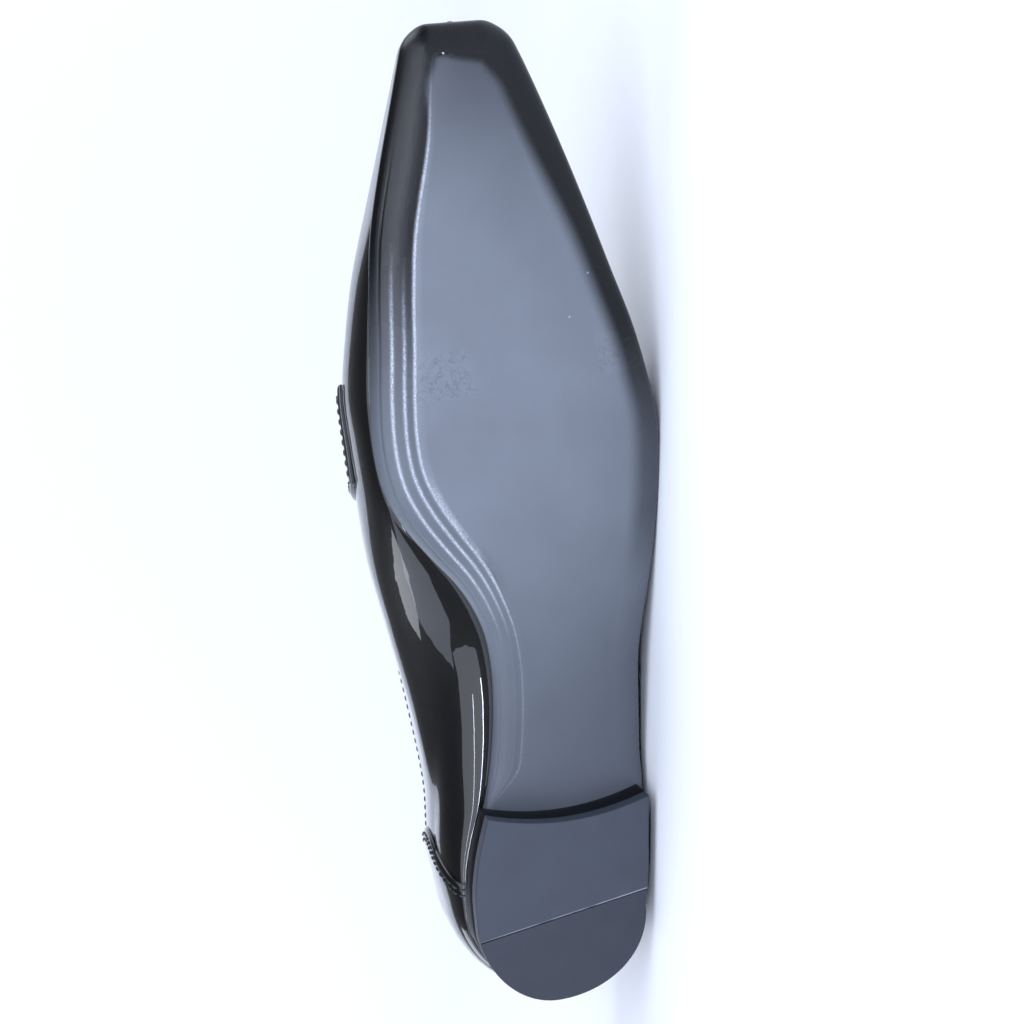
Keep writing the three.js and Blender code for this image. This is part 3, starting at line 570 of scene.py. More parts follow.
# The tape's film is kept off the band of painted shade
bare = add(tree, "ShaderNodeMath", {0: 1.0, 1: painted_border_shade}, operation="SUBTRACT").outputs[0]
film = add(tree, "ShaderNodeMath", {0: film, 1: bare}, operation="MULTIPLY").outputs[0]
cracks = add(tree, "ShaderNodeMath", {0: cracks_a, 1: cracks_b}, operation="MAXIMUM").outputs[0]
film_share = add(tree, "ShaderNodeMath", {0: film, 1: 0.05}, operation="MULTIPLY").outputs[0]
sole_colour = add(tree, "ShaderNodeMix", {
    "Factor": film_share, 6: sole_colour, 7: linear("#8a9098"),
}, data_type="RGBA").outputs[2]
crack_share = add(tree, "ShaderNodeMath", {0: cracks, 1: 0.3}, operation="MULTIPLY").outputs[0]
sole_colour = add(tree, "ShaderNodeMix", {
    "Factor": crack_share, 6: sole_colour, 7: linear("#2b2e34"),
}, data_type="RGBA").outputs[2]
# Specks of pale dust: plan place and strength
for speck, bright in (((302.0, -11.0), 0.8), ((231.0, 26.3), 0.3), ((218.0, 19.0), 0.3)):
    flat = add(tree, "ShaderNodeVectorMath", {0: place, 1: (1, 1, 0)}, operation="MULTIPLY")
    gap = add(tree, "ShaderNodeVectorMath", {0: flat.outputs[0], 1: (*speck, 0)},
              operation="DISTANCE").outputs["Value"]
    dust = add(tree, "ShaderNodeMapRange", {
        "Value": gap, "From Min": 0.25, "From Max": 0.4, "To Min": bright, "To Max": 0.0,
    }).outputs[0]
    sole_colour = add(tree, "ShaderNodeMix", {
        "Factor": dust, 6: sole_colour, 7: linear("#cfd2d6"),
    }, data_type="RGBA").outputs[2]
# Painted highlight: pale grainy streaks along the inner ribs, where the lamps would glint on them
painted_streaks = add(tree, "ShaderNodeAttribute", attribute_name="painted_streaks").outputs["Fac"]
sparse = add(tree, "ShaderNodeMapRange", {
    "Value": grain, "From Min": 0.4, "From Max": 0.6, "To Min": 0.35, "To Max": 1.0,
}).outputs[0]
painted_streaks = add(tree, "ShaderNodeMath", {0: painted_streaks, 1: sparse}, operation="MULTIPLY").outputs[0]
sole_colour = add(tree, "ShaderNodeMix", {
    "Factor": painted_streaks, 6: sole_colour, 7: linear("#b6bbc4"),
}, data_type="RGBA").outputs[2]
tree.links.new(sole_colour, shader.inputs["Base Color"])
gloss = add(tree, "ShaderNodeMapRange", {"Value": cloud, "To Min": 0.38, "To Max": 0.46})
gloss = add(tree, "ShaderNodeMath", {0: painted_streaks, 1: -0.2, 2: gloss.outputs[0]},
            operation="MULTIPLY_ADD")
gloss = add(tree, "ShaderNodeMath", {0: painted_border_shade, 1: -0.2, 2: gloss.outputs[0]},
            operation="MULTIPLY_ADD")
gloss = add(tree, "ShaderNodeMath", {0: film, 1: 0.14, 2: gloss.outputs[0]},
            operation="MULTIPLY_ADD")
tree.links.new(gloss.outputs[0], shader.inputs["Roughness"])
grain_bump = add(tree, "ShaderNodeBump", {"Height": grain, "Strength": 0.8, "Distance": 0.0001})
crack_bump = add(tree, "ShaderNodeBump", {
    "Height": cracks, "Normal": grain_bump.outputs[0], "Strength": 0.6, "Distance": 0.0001,
})
tree.links.new(crack_bump.outputs[0], shader.inputs["Normal"])

outsole = shoe_piece("outsole_leather", *closed_layer(sole_rings, tread_grid, top_grid),
                     waxed_sole)
paint_border_shade_and_streaks(outsole)
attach(outsole, "root")
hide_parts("outsole")

# Heel. Lifts of leather board are stacked under the seat, trimmed with a curved breast, inked
# black and burnished. They are glued and nailed, then the top piece hides the nails.

# Share of the length at the breast's corners, how deep the breast curves, and the thickness of the
# top piece
HEEL_CORNER, BREAST_SAG, TOP_PIECE = 0.201, 4.3, 6.0
# Share of the length, then inner and outer edge as shares of the ball width
heel_rows = [
    (0.087, -0.314, 0.291), (0.122, -0.311, 0.311), (0.160, -0.286, 0.323),
    (0.201, -0.241, 0.336),
]


def station_at(x):
    """Station of the side's point at x."""
    return 1 + (np.asarray(x, float) - ROUND) / (SIDE_END - ROUND)


def heel_plan():
    """Outline of the heel, from the breast's inner corner round the back to its outer corner
    and along the curved breast."""
    w = np.concatenate([np.linspace(0, 1, 30, endpoint=False),
                        np.linspace(1, station_at(HEEL_CORNER * LENGTH), 14)])
    inner = np.stack(half_outline(scaled(heel_rows, 1), w), 1)[::-1]
    outer = np.stack(half_outline(scaled(heel_rows, 2), w), 1)[1:]
    t = np.linspace(0, 1, 26)[1:-1, None]
    breast = outer[-1] + (inner[0] - outer[-1]) * t
    breast[:, 0] -= (4 * BREAST_SAG * t * (1 - t))[:, 0]
    return np.concatenate([inner, outer, breast])


def drawn_in(outline, inset):
    """Closed plan outline moved inwards by inset."""
    before = outline - np.roll(outline, 1, axis=0)
    after = np.roll(outline, -1, axis=0) - outline
    left = [np.stack([-v[:, 1], v[:, 0]], 1) / np.linalg.norm(v, axis=1, keepdims=True)
            for v in (before, after)]
    both = left[0] + left[1]
    x, y = outline.T
    turning = np.sign(np.sum(x * np.roll(y, -1) - np.roll(x, -1) * y))
    return outline + turning * inset * 2 * both / np.maximum((both ** 2).sum(1), 0.5)[:, None]


def turned_plate(outline, profile):
    """Points and faces of a plate: the outline repeated at each (inset, height) of its edge."""
    loops = [np.column_stack([drawn_in(outline, inset), np.full(len(outline), height)])
             for inset, height in profile]
    count = len(outline)
    faces = grid_faces(len(loops), count, closed=True)
    faces += [tuple(range(count)), tuple(range((len(loops) - 1) * count, len(loops) * count))]
    return np.concatenate(loops), faces


# Burnished edge ink over leather board: near black, with a low wax gloss and faint level lines
# from the burnishing wheel, about 0.8 mm apart.
edge_ink, tree, shader = finish_of("burnished_edge_ink")
shader.inputs["Specular IOR Level"].default_value = 0.12
place = add(tree, "ShaderNodeAttribute", attribute_name="shoe_mm").outputs["Vector"]
drawn = add(tree, "ShaderNodeVectorMath", {0: place, 1: (0.05, 0.05, 1 / 0.8)},
            operation="MULTIPLY").outputs[0]
lines = add(tree, "ShaderNodeTexNoise", {"Vector": drawn, "Scale": 1.0, "Detail": 3.0})
ink_and_painted_shade = add(tree, "ShaderNodeMix", {
    "Factor": lines.outputs["Fac"], 6: linear("#08090b"), 7: linear("#121317"),
}, data_type="RGBA")
tree.links.new(ink_and_painted_shade.outputs[2], shader.inputs["Base Color"])
gloss = add(tree, "ShaderNodeMapRange", {
    "Value": lines.outputs["Fac"], "To Min": 0.28, "To Max": 0.45,
})
tree.links.new(gloss.outputs[0], shader.inputs["Roughness"])
lines_bump = add(tree, "ShaderNodeBump", {
    "Height": lines.outputs["Fac"], "Strength": 0.25, "Distance": 0.0001,
})
tree.links.new(lines_bump.outputs[0], shader.inputs["Normal"])

# Inset and height of the stack's edge, from the seat down to the top piece
lift_profile = [(0.15, HEEL - 0.06), (0.0, HEEL - 0.2)]
lift_profile += [(0.0, TOP_PIECE + 0.35), (0.2, TOP_PIECE + 0.1)]
heel_stack = shoe_piece("heel_stack", *turned_plate(heel_plan(), lift_profile), edge_ink)
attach(heel_stack, "root")
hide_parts("heel_base")

# Top piece. The part of the heel that meets the ground: leather in front and, behind a slanting
# joint, a wear-resistant rubber corner at the outer back. Both are cemented flush.
joint_ends = np.array([(0.063 * LENGTH, -BALL / 2), (0.113 * LENGTH, BALL / 2)])
joint_run = joint_ends[1] - joint_ends[0]
joint_across = np.array([joint_run[1], -joint_run[0]]) / np.linalg.norm(joint_run)
JOINT_CLEAR, CLOSEST_POINTS = 0.03, 0.5


def cut_by_joint(outline, towards_back):
    """The part of an outline on one side of the slanting joint, a hair clear of it."""
    side = (outline - joint_ends[0]) @ joint_across * (-1 if towards_back else 1) - JOINT_CLEAR
    kept = []
    for i in range(len(outline)):
        j = (i + 1) % len(outline)
        if side[i] >= 0:
            kept.append(outline[i])
        if (side[i] >= 0) != (side[j] >= 0):
            kept.append(outline[i] + (outline[j] - outline[i]) * side[i] / (side[i] - side[j]))
    kept = np.array(kept)
    # Points that lie almost on the joint's ends would fold the drawn-in edge over itself
    apart = np.linalg.norm(kept - np.roll(kept, 1, axis=0), axis=1)
    return kept[apart > CLOSEST_POINTS]


# The leather half is the sole's bend, sanded, so drier and duller, and paler in a thin uneven line
# along the joint.
# The rubber half is moulded, matt and even, with a fine pebble of 0.4 mm.
PALE_LINE_FROM, PALE_LINE_TO = 0.3, 0.6
top_leather, tree, shader = finish_of("sanded_top_leather")
place = add(tree, "ShaderNodeAttribute", attribute_name="shoe_mm").outputs["Vector"]
grain = add(tree, "ShaderNodeTexNoise", {
    "Vector": place, "Scale": 1 / GRAIN, "Detail": 4.0, "Roughness": 0.6,
}).outputs["Fac"]
cloud = add(tree, "ShaderNodeTexNoise", {"Vector": place, "Scale": 1 / 14}).outputs["Fac"]
tone = add(tree, "ShaderNodeMix", {
    "Factor": cloud, 6: linear("#282d37"), 7: linear("#333945"),
}, data_type="RGBA")
from_joint = add(tree, "ShaderNodeVectorMath", {0: place, 1: (*joint_across, 0.0)},
                 operation="DOT_PRODUCT").outputs["Value"]
joint_place = float(joint_across @ joint_ends[0])
# Paler in a thin line beside the joint, uneven along its length
pale_line = add(tree, "ShaderNodeMapRange", {
    "Value": from_joint, "From Min": joint_place + PALE_LINE_FROM,
    "From Max": joint_place + PALE_LINE_TO, "To Min": 1.0, "To Max": 0.0,
})
patchiness = add(tree, "ShaderNodeMapRange", {
    "Value": cloud, "From Min": 0.4, "From Max": 0.55, "To Min": 0.25, "To Max": 0.9,
})
pale_line = add(tree, "ShaderNodeMath", {0: pale_line.outputs[0], 1: patchiness.outputs[0]},
             operation="MULTIPLY")
tone = add(tree, "ShaderNodeMix", {
    "Factor": pale_line.outputs[0], 6: tone.outputs[2], 7: linear("#9298a2"),
}, data_type="RGBA")
tree.links.new(tone.outputs[2], shader.inputs["Base Color"])
gloss = add(tree, "ShaderNodeMapRange", {"Value": cloud, "To Min": 0.5, "To Max": 0.58})
tree.links.new(gloss.outputs[0], shader.inputs["Roughness"])
grain_bump = add(tree, "ShaderNodeBump", {"Height": grain, "Strength": 0.3, "Distance": 0.0001})
tree.links.new(grain_bump.outputs[0], shader.inputs["Normal"])

heel_rubber, tree, shader = finish_of("moulded_heel_rubber")
place = add(tree, "ShaderNodeAttribute", attribute_name="shoe_mm").outputs["Vector"]
pebble = add(tree, "ShaderNodeTexVoronoi", {"Vector": place, "Scale": 1 / 0.4})
cloud = add(tree, "ShaderNodeTexNoise", {"Vector": place, "Scale": 1 / 9}).outputs["Fac"]
tone = add(tree, "ShaderNodeMix", {
    "Factor": cloud, 6: linear("#1d212a"), 7: linear("#272c37"),
}, data_type="RGBA")
tree.links.new(tone.outputs[2], shader.inputs["Base Color"])
gloss = add(tree, "ShaderNodeMapRange", {"Value": cloud, "To Min": 0.54, "To Max": 0.62})
tree.links.new(gloss.outputs[0], shader.inputs["Roughness"])
pebble_bump = add(tree, "ShaderNodeBump", {
    "Height": pebble.outputs["Distance"], "Strength": 0.15, "Distance": 0.0001,
})
tree.links.new(pebble_bump.outputs[0], shader.inputs["Normal"])

# Inset and height of a plate's edge, from its upper face down to the ground
plate_profile = [(0.12, TOP_PIECE - 0.05), (0.0, TOP_PIECE - 0.25), (0.0, 0.4), (0.05, 0.15),
                 (0.2, 0.0), (0.9, 0.0)]
for name, node, towards_back, finish, slot in (
    ("top_piece_front", "top_piece_leather", False, top_leather, "sole_leather"),
    ("top_piece_corner", "top_piece_rubber", True, heel_rubber, "heel_rubber"),
):
    plan = cut_by_joint(heel_plan(), towards_back)
    plate = shoe_piece(name, *turned_plate(plan, plate_profile), finish)
    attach(plate, "root")
    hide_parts(node)

# Upper. Black patent leather over a lining, lasted to a long flat toe. The quarters rise to a
# folded and stitched top edge, and the apron is joined to the vamp by a raised seam.

# Rows of the last: share of the length, widest inner and outer, height of the widest line, aside
# and ridge of the top line, roundness above and below
last_rows = [
    (0.087, -0.345, 0.330, 0.270, -0.015, 1.34, 2.4, 2.2),
    (0.130, -0.369, 0.360, 0.275, -0.010, 1.34, 2.4, 2.2),
    (0.199, -0.362, 0.389, 0.330, -0.005, 1.34, 2.3, 2.0),
    (0.288, -0.394, 0.413, 0.410, -0.010, 1.38, 2.2, 1.8),
    (0.378, -0.452, 0.440, 0.415, -0.025, 1.36, 2.1, 1.8),
    (0.458, -0.507, 0.478, 0.390, -0.043, 1.24, 2.1, 1.9),
    (0.526, -0.532, 0.499, 0.350, -0.050, 1.07, 2.1, 2.0),
    (0.590, -0.547, 0.503, 0.310, -0.058, 0.916, 2.1, 2.0),
    (0.640, -0.552, 0.481, 0.292, -0.062, 0.800, 2.1, 2.0),
    (0.700, -0.523, 0.430, 0.270, -0.066, 0.690, 2.1, 2.0),
    (0.760, -0.480, 0.366, 0.245, -0.068, 0.595, 2.2, 2.0),
    (0.830, -0.406, 0.290, 0.210, -0.066, 0.490, 2.3, 2.0),
    (0.900, -0.330, 0.214, 0.165, -0.062, 0.372, 2.5, 2.0),
    (0.962, -0.262, 0.145, 0.120, -0.060, 0.250, 2.8, 2.0),
    (1.000, -0.222, 0.100, 0.100, -0.060, 0.180, 3.0, 2.0),
]
last_edge = {-1: scaled(last_rows, 1), 1: scaled(last_rows, 2)}
widest_at, aside_at, ridge_at, crown_at, under_at = (smooth(last_rows, k) for k in range(3, 8))
LAST_BACK, LAST_FRONT = -1.5, LENGTH - 0.6
RIDGE_FROM, RIDGE_TO = 0.075, 0.962
FEATHER_INSET = 1.0
# The lowest row stands this far above the sole, so that no light comes in between them
SOLE_CLEAR = 0.1 * GAP
WALL, FOLD_WIDE, FOLD_STEPS, FOLD_ANGLE = 2.2, 0.7, 3, 60


def last_point(side, w, q):
    """Point of the last on its inner (-1) or outer (1) side at station w. q is -1 at the feather
    line, 0 at the widest line and 1 on the ridge."""
    w, q = np.broadcast_arrays(np.asarray(w, float), np.asarray(q, float))
    fx, fy = half_outline(sole_edge[side], w, inset=lambda x: FEATHER_INSET + no_inset(x))
    bx, by = half_outline(last_edge[side], w, back=LAST_BACK, front=LAST_FRONT)
    along = bx / LENGTH
    ridge_along = np.clip(along, RIDGE_FROM, RIDGE_TO)
    ridge_x = ridge_along * LENGTH
    foot = np.stack([fx, fy, feather(fx) - GAP + SOLE_CLEAR], -1)
    wide = np.stack([bx, by, feather(bx) + widest_at(along) * INSTEP], -1)
    top = np.stack([ridge_x, aside_at(ridge_along) * BALL,
                    feather(ridge_x) + ridge_at(ridge_along) * INSTEP], -1)
    low = (1 + np.minimum(q, 0)) * math.pi / 2
    high = np.maximum(q, 0) * math.pi / 2
    under, crown = 2 / under_at(along), 2 / crown_at(along)
    out = np.sin(low) ** under
    lift = 1 - np.abs(np.cos(low)) ** under
    inward = 1 - np.abs(np.cos(high)) ** crown
    rise = np.sin(high) ** crown
    lower = foot + (wide - foot) * np.stack([out, out, lift], -1)
    upper = wide + (top - wide) * np.stack([inward, inward, rise], -1)
    return np.where((q < 0)[..., None], lower, upper)


def last_surface(side, w, q, offset=0.0):
    """Point on the last lifted by offset, and its outward direction."""
    w, q = np.broadcast_arrays(np.asarray(w, float), np.asarray(q, float))
    d = 2e-3
    low_q, high_q = np.maximum(q - d, -1), np.minimum(q + d, 1)
    low_w, high_w = np.maximum(w - d, 0), np.minimum(w + d, 5)
    along_q = last_point(side, w, high_q) - last_point(side, w, low_q)
    along_w = last_point(side, high_w, q) - last_point(side, low_w, q)
    normal = np.cross(along_q, along_w) * side
    size = np.linalg.norm(normal, axis=-1, keepdims=True)
    normal = np.where(size > 1e-9, normal / np.maximum(size, 1e-9), [0.0, 0.0, 1.0])
    return last_point(side, w, q) + normal * np.asarray(offset)[..., None], normal


# Top edge of the quarters in side view: share of the length, share of the back height
collar_rows = [
    (0.000, 1.02), (0.060, 0.92), (0.140, 0.79), (0.240, 0.745), (0.330, 0.79), (0.400, 0.92),
    (0.440, 1.07), (0.462, 1.22),
]
collar_rise = smooth(collar_rows, 1)
SEAT = float(feather(0.0))
OUT_OF_REACH = 1e3


def collar_height(x):
    """Height of the top edge at x, out of reach in front of the opening."""
    return np.where(x > collar_rows[-1][0] * LENGTH, OUT_OF_REACH,
                    SEAT + collar_rise(x / LENGTH) * BACK_HEIGHT)


def first_crossing(xs, gap, otherwise):
    """x at which gap first rises above zero, or otherwise where it never does."""
    over = np.nonzero(gap > 0)[0]
    if len(over) == 0 or over[0] == 0:
        return otherwise
    k = over[0]
    return xs[k - 1] + (xs[k] - xs[k - 1]) * gap[k - 1] / (gap[k - 1] - gap[k])


def collar_end(side, stations_w):
    """q at which each column of the last meets the top edge, or 1 where it passes under it."""
    q = np.linspace(0, 1, 600)
    ends = []
    for w in stations_w:
        column = last_point(side, w, q)
        ends.append(first_crossing(q, column[:, 2] - collar_height(column[:, 0]), 1.0))
    return np.array(ends)


# The patent skin has soft waves where it was drawn over the last, and shallow creases where it
# has flexed. Each: side, x and height of its two ends, half width and depth. Ridges are negative.
patent_waves = [
    (-1, 46.0, 42.0, 94.0, 31.0, 5.0, 0.80), (-1, 58.0, 30.0, 98.0, 22.0, 4.0, -0.40),
    (-1, 96.0, 26.0, 128.0, 17.0, 4.0, 0.40), (-1, 78.0, 52.0, 124.0, 60.0, 7.0, 0.25),
    (1, 60.0, 30.0, 112.0, 44.0, 6.0, 0.30), (1, 104.0, 28.0, 132.0, 18.0, 4.5, 0.30),
    (0, 205.0, -30.0, 200.0, 26.0, 2.6, 0.28), (0, 216.0, -27.0, 213.0, 20.0, 2.2, 0.22),
]


def skin_relief(side, points):
    """Depth of the waves and creases at points of the skin. Side 0 runs across the vamp."""
    depth = np.zeros(points.shape[:-1])
    x, y, z = np.moveaxis(points, -1, 0)
    for wave_side, x0, v0, x1, v1, half, deep in patent_waves:
        v = y if wave_side == 0 else z
        run = np.array([x1 - x0, v1 - v0])
        t = ((x - x0) * run[0] + (v - v0) * run[1]) / (run @ run)
        t_in = np.clip(t, 0, 1)
        aside = np.hypot(x - x0 - t_in * run[0], v - v0 - t_in * run[1])
        shape = deep * np.exp(-(aside / half) ** 2) * np.sin(np.pi * np.clip(t, 0.02, 0.98)) ** 0.5
        on_side = (z > 20.0) if wave_side == 0 else (wave_side == side)
        depth = depth + np.where(on_side, shape, 0.0)
    return depth


# Columns crowd together where the opening ends on the instep, between 100 and 150 mm from the
# back, so its front is a clean curve
throat = np.linspace(100, 150, 2001)
throat_gap = collar_height(throat) - last_point(1, station_at(throat), 1.0)[:, 2]
throat_w = station_at(first_crossing(throat, throat_gap, 140.0))
throat_steps = np.array([0.0, 0.03, 0.12, 0.3, 0.55, 0.9, 1.35]) / (SIDE_END - ROUND)
shell_w = np.unique(np.concatenate([stations, throat_w - throat_steps]))

LOW_ROWS, HIGH_ROWS = 14, 44
shell_columns = []
for side, w in ((-1, shell_w), (1, shell_w[-2:0:-1])):
    end = collar_end(side, w)
    q = np.concatenate([
        np.repeat(np.linspace(-1, 0, LOW_ROWS, endpoint=False)[:, None], len(w), 1),
        np.linspace(0, 1, HIGH_ROWS)[:, None] * end[None, :],
    ])
    bare, normal = last_surface(side, w[None, :], q)
    shell_columns.append(bare - normal * skin_relief(side, bare)[..., None])
shell = np.concatenate(shell_columns, axis=1)

# Patent: leather under a thick clear lacquer, so it is black with mirror reflections that bend
# a little over the skin below, felt as a 3 mm orange peel.
patent, tree, shader = finish_of("lacquered_patent_leather", Roughness=0.35)
shader.inputs["Specular IOR Level"].default_value = 0.1
shader.inputs["Coat Weight"].default_value = 1.0
shader.inputs["Coat Roughness"].default_value = 0.02
place = add(tree, "ShaderNodeAttribute", attribute_name="shoe_mm").outputs["Vector"]
peel = add(tree, "ShaderNodeTexNoise", {"Vector": place, "Scale": 1 / 3.0, "Detail": 1.0})
tone = add(tree, "ShaderNodeMix", {
    "Factor": peel.outputs["Fac"], 6: linear("#050506"), 7: linear("#0b0b0d"),
}, data_type="RGBA")
tree.links.new(tone.outputs[2], shader.inputs["Base Color"])
peel_bump = add(tree, "ShaderNodeBump", {
    "Height": peel.outputs["Fac"], "Strength": 0.12, "Distance": 0.0001,
})
tree.links.new(peel_bump.outputs[0], shader.inputs["Normal"])
tree.links.new(peel_bump.outputs[0], shader.inputs["Coat Normal"])

# Lining: black kid, matt, with a fine pebbled grain of 0.7 mm
lining, tree, shader = finish_of("black_kid_lining", Roughness=0.65)
place = add(tree, "ShaderNodeAttribute", attribute_name="shoe_mm").outputs["Vector"]
pebble = add(tree, "ShaderNodeTexVoronoi", {"Vector": place, "Scale": 1 / 0.7},
             feature="SMOOTH_F1")
tone = add(tree, "ShaderNodeMix", {
    "Factor": pebble.outputs["Distance"], 6: linear("#232225"), 7: linear("#141315"),
}, data_type="RGBA")
tree.links.new(tone.outputs[2], shader.inputs["Base Color"])
pebble_bump = add(tree, "ShaderNodeBump", {
    "Height": pebble.outputs["Distance"], "Strength": 0.3, "Distance": 0.0001,
})
tree.links.new(pebble_bump.outputs[0], shader.inputs["Normal"])

upper = shoe_piece("upper_patent", shell.reshape(-1, 3),
                   grid_faces(shell.shape[0], shell.shape[1], closed=True), patent, lining)
wall = upper.modifiers.new("wall", "SOLIDIFY")
wall.thickness = WALL * MM
wall.offset = -1
wall.material_offset = 1
wall.material_offset_rim = 0
wall.use_even_offset = True
fold = upper.modifiers.new("folded_edge", "BEVEL")
fold.width = FOLD_WIDE * MM
fold.segments = FOLD_STEPS
fold.limit_method = "ANGLE"
fold.angle_limit = math.radians(FOLD_ANGLE)
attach(upper, "root")
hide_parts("upper")


# Stitching. Waxed black thread, 0.6 mm thick, in a lockstitch of even length that sinks into the
# lacquered leather at each hole. It edges the top line, the counter, the strap and the tongue.

# Waxed thread: black, with a low sheen and the slant of its twist every 1 to 2 mm
thread, tree, shader = finish_of("waxed_thread", Roughness=0.5)
place = add(tree, "ShaderNodeAttribute", attribute_name="shoe_mm").outputs["Vector"]
twist = add(tree, "ShaderNodeTexWave", {"Vector": place, "Scale": 0.8, "Distortion": 1.0},
            bands_direction="DIAGONAL")
tone = add(tree, "ShaderNodeMix", {
    "Factor": twist.outputs["Fac"], 6: linear("#0c0c0e"), 7: linear("#26272b"),
}, data_type="RGBA")
tree.links.new(tone.outputs[2], shader.inputs["Base Color"])
twist_bump = add(tree, "ShaderNodeBump", {
    "Height": twist.outputs["Fac"], "Strength": 0.4, "Distance": 0.0001,
})
tree.links.new(twist_bump.outputs[0], shader.inputs["Normal"])


# A stitch's rings: place as a share of its length, how far it sinks in as a share of its
# thickness, and girth as a share of its radius
stitch_shares = np.array([-0.5, -0.4, -0.2, 0, 0.2, 0.4, 0.5])
stitch_sinks = np.array([0.55, 0.12, -0.1, -0.14, -0.1, 0.12, 0.55])
stitch_girths = np.array([0.5, 0.9, 1, 1, 1, 0.9, 0.5])
OVER_RIDGE = 0.7


def length_along(path):
    """Distance along a path at each of its points."""
    return np.r_[0, np.cumsum(np.linalg.norm(np.diff(path, axis=0), axis=1))]


def at_length(where, run, values):
    """Values of a path's points at distances along it."""
    return np.stack([np.interp(where, run, values[:, i]) for i in range(3)], -1)


def sewn(path, normals, pitch=3.0, length=2.3, radius=0.3, sides=6, across=False):
    """Points and faces of stitches along a path on the leather. across turns each one square to
    the path, for a seam that is sewn over its ridge."""
    path, normals = np.asarray(path), np.asarray(normals)
    run = length_along(path)
    count = max(int(run[-1] / pitch), 1)
    rings = len(stitch_shares)
    points, faces = [], []
    for k in range(count):
        middle = (k + 0.5) * run[-1] / count
        ts = middle + stitch_shares * length
        sinks, girth = stitch_sinks, stitch_girths * radius
        if across:
            here, nearby = at_length(middle, run, path), at_length(middle + 0.5, run, path)
            out = at_length(middle, run, normals)
            out /= np.linalg.norm(out)
            square = np.cross(nearby - here, out)
            square /= np.linalg.norm(square)
            centres = here + square * (ts - middle)[:, None]
            outs = np.repeat(out[None], rings, 0)
            sinks = sinks + ((ts - middle) / (length / 2)) ** 2 * OVER_RIDGE
        else:
            centres, outs = at_length(ts, run, path), at_length(ts, run, normals)
        outs = outs / np.linalg.norm(outs, axis=1, keepdims=True)
        centres = centres - outs * (sinks * radius * 2)[:, None]
        ahead_dir = centres[-1] - centres[0]
        ahead_dir /= np.linalg.norm(ahead_dir)
        start = len(points)
        for centre, out, r in zip(centres, outs, girth):
            aside = np.cross(ahead_dir, out)
            aside /= np.linalg.norm(aside)
            for s in range(sides):
                angle = 2 * math.pi * s / sides
                points.append(centre + r * (math.cos(angle) * out + math.sin(angle) * aside))
        faces += grid_faces(rings, sides, closed=True, start=start)
        faces += [tuple(start + i for i in range(sides)),
                  tuple(start + (rings - 1) * sides + i for i in range(sides))]
    return points, faces


def joined(parts):
    """Points and faces of several parts in one."""
    points, faces = [], []
    for part_points, part_faces in parts:
        faces += [tuple(len(points) + i for i in face) for face in part_faces]
        points += list(part_points)
    return points, faces


def thread_piece(name, rows_of_stitches, node):
    """One object for all the stitches of a piece of leather."""
    piece = shoe_piece(name, *joined(rows_of_stitches), thread, weld=0.0005, sharp=180.0)
    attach(piece, "root")
    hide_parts(node)
    return piece


COLLAR_SEAM_GAP, Q_STEP = 2.6, 0.02
row_w = np.concatenate([np.linspace(throat_w - 0.02, 1, 60)[:-1], np.linspace(1, 0, 20)])
collar_paths = []
for side in (-1, 1):
    end = collar_end(side, row_w)
    below = last_point(side, row_w, end - Q_STEP)
    step = np.linalg.norm(last_point(side, row_w, end) - below, axis=1) / Q_STEP
    q = end - COLLAR_SEAM_GAP / step
    collar_paths.append(last_surface(side, row_w, q))
collar_path = [np.concatenate([a, b[::-1][1:]]) for a, b in zip(*collar_paths)]
thread_piece("collar_stitches", [sewn(*collar_path)], "upper")


def slab(outer, inner):
    """Points and faces of a sheet with a thickness, from its outer and inner grids."""
    rows, cols = outer.shape[:2]
    half = rows * cols
    faces = grid_faces(rows, cols) + grid_faces(rows, cols, start=half, flip=True)
    rim = [r * cols for r in range(rows)]
    rim += [(rows - 1) * cols + c for c in range(1, cols)]
    rim += [r * cols + cols - 1 for r in range(rows - 2, -1, -1)]
    rim += [c for c in range(cols - 2, 0, -1)]
    for a, b in zip(rim, rim[1:] + rim[:1]):
        faces.append((a, b, half + b, half + a))
    return np.concatenate([outer.reshape(-1, 3), inner.reshape(-1, 3)]), faces


def edge_shares(count, length, radius):
    """Shares from 0 to 1 with extra steps inside each rounded edge of a strip length long."""
    near = np.array([0.0, 0.06, 0.25, 0.6, 1.0, 1.5]) * radius / length
    return np.unique(np.concatenate([near, np.linspace(near[-1], 1 - near[-1], count), 1 - near]))


def edge_drop(shares, length, radius):
    """How far a rounded edge falls below the face at each share of a strip length long."""
    gap = np.minimum(shares, 1 - shares) * length
    inside = np.clip(1 - gap / radius, 0, 1)
    return radius * (1 - np.sqrt(1 - inside ** 2))


# Counter. A patent patch folded and stitched over the heel's back, 1.1 mm proud of the quarters,
# whose front edges lean forwards and then run back to the top line.
def curved(points, steps):
    """Smooth curve through a few [x, z] points."""
    points = np.array([points[0], *points, points[-1]], float)
    spans = len(points) - 3
    out = []
    for k in range(steps + 1):
        s = min(int(k * spans / steps), spans - 1)
        t = k * spans / steps - s
        a, b, c, d = points[s:s + 4]
        out.append(0.5 * (2 * b + (c - a) * t + (2 * a - 5 * b + 4 * c - d) * t ** 2
                          + (3 * b - a - 3 * c + d) * t ** 3))
    return np.array(out)


COUNTER_THICK = 1.1
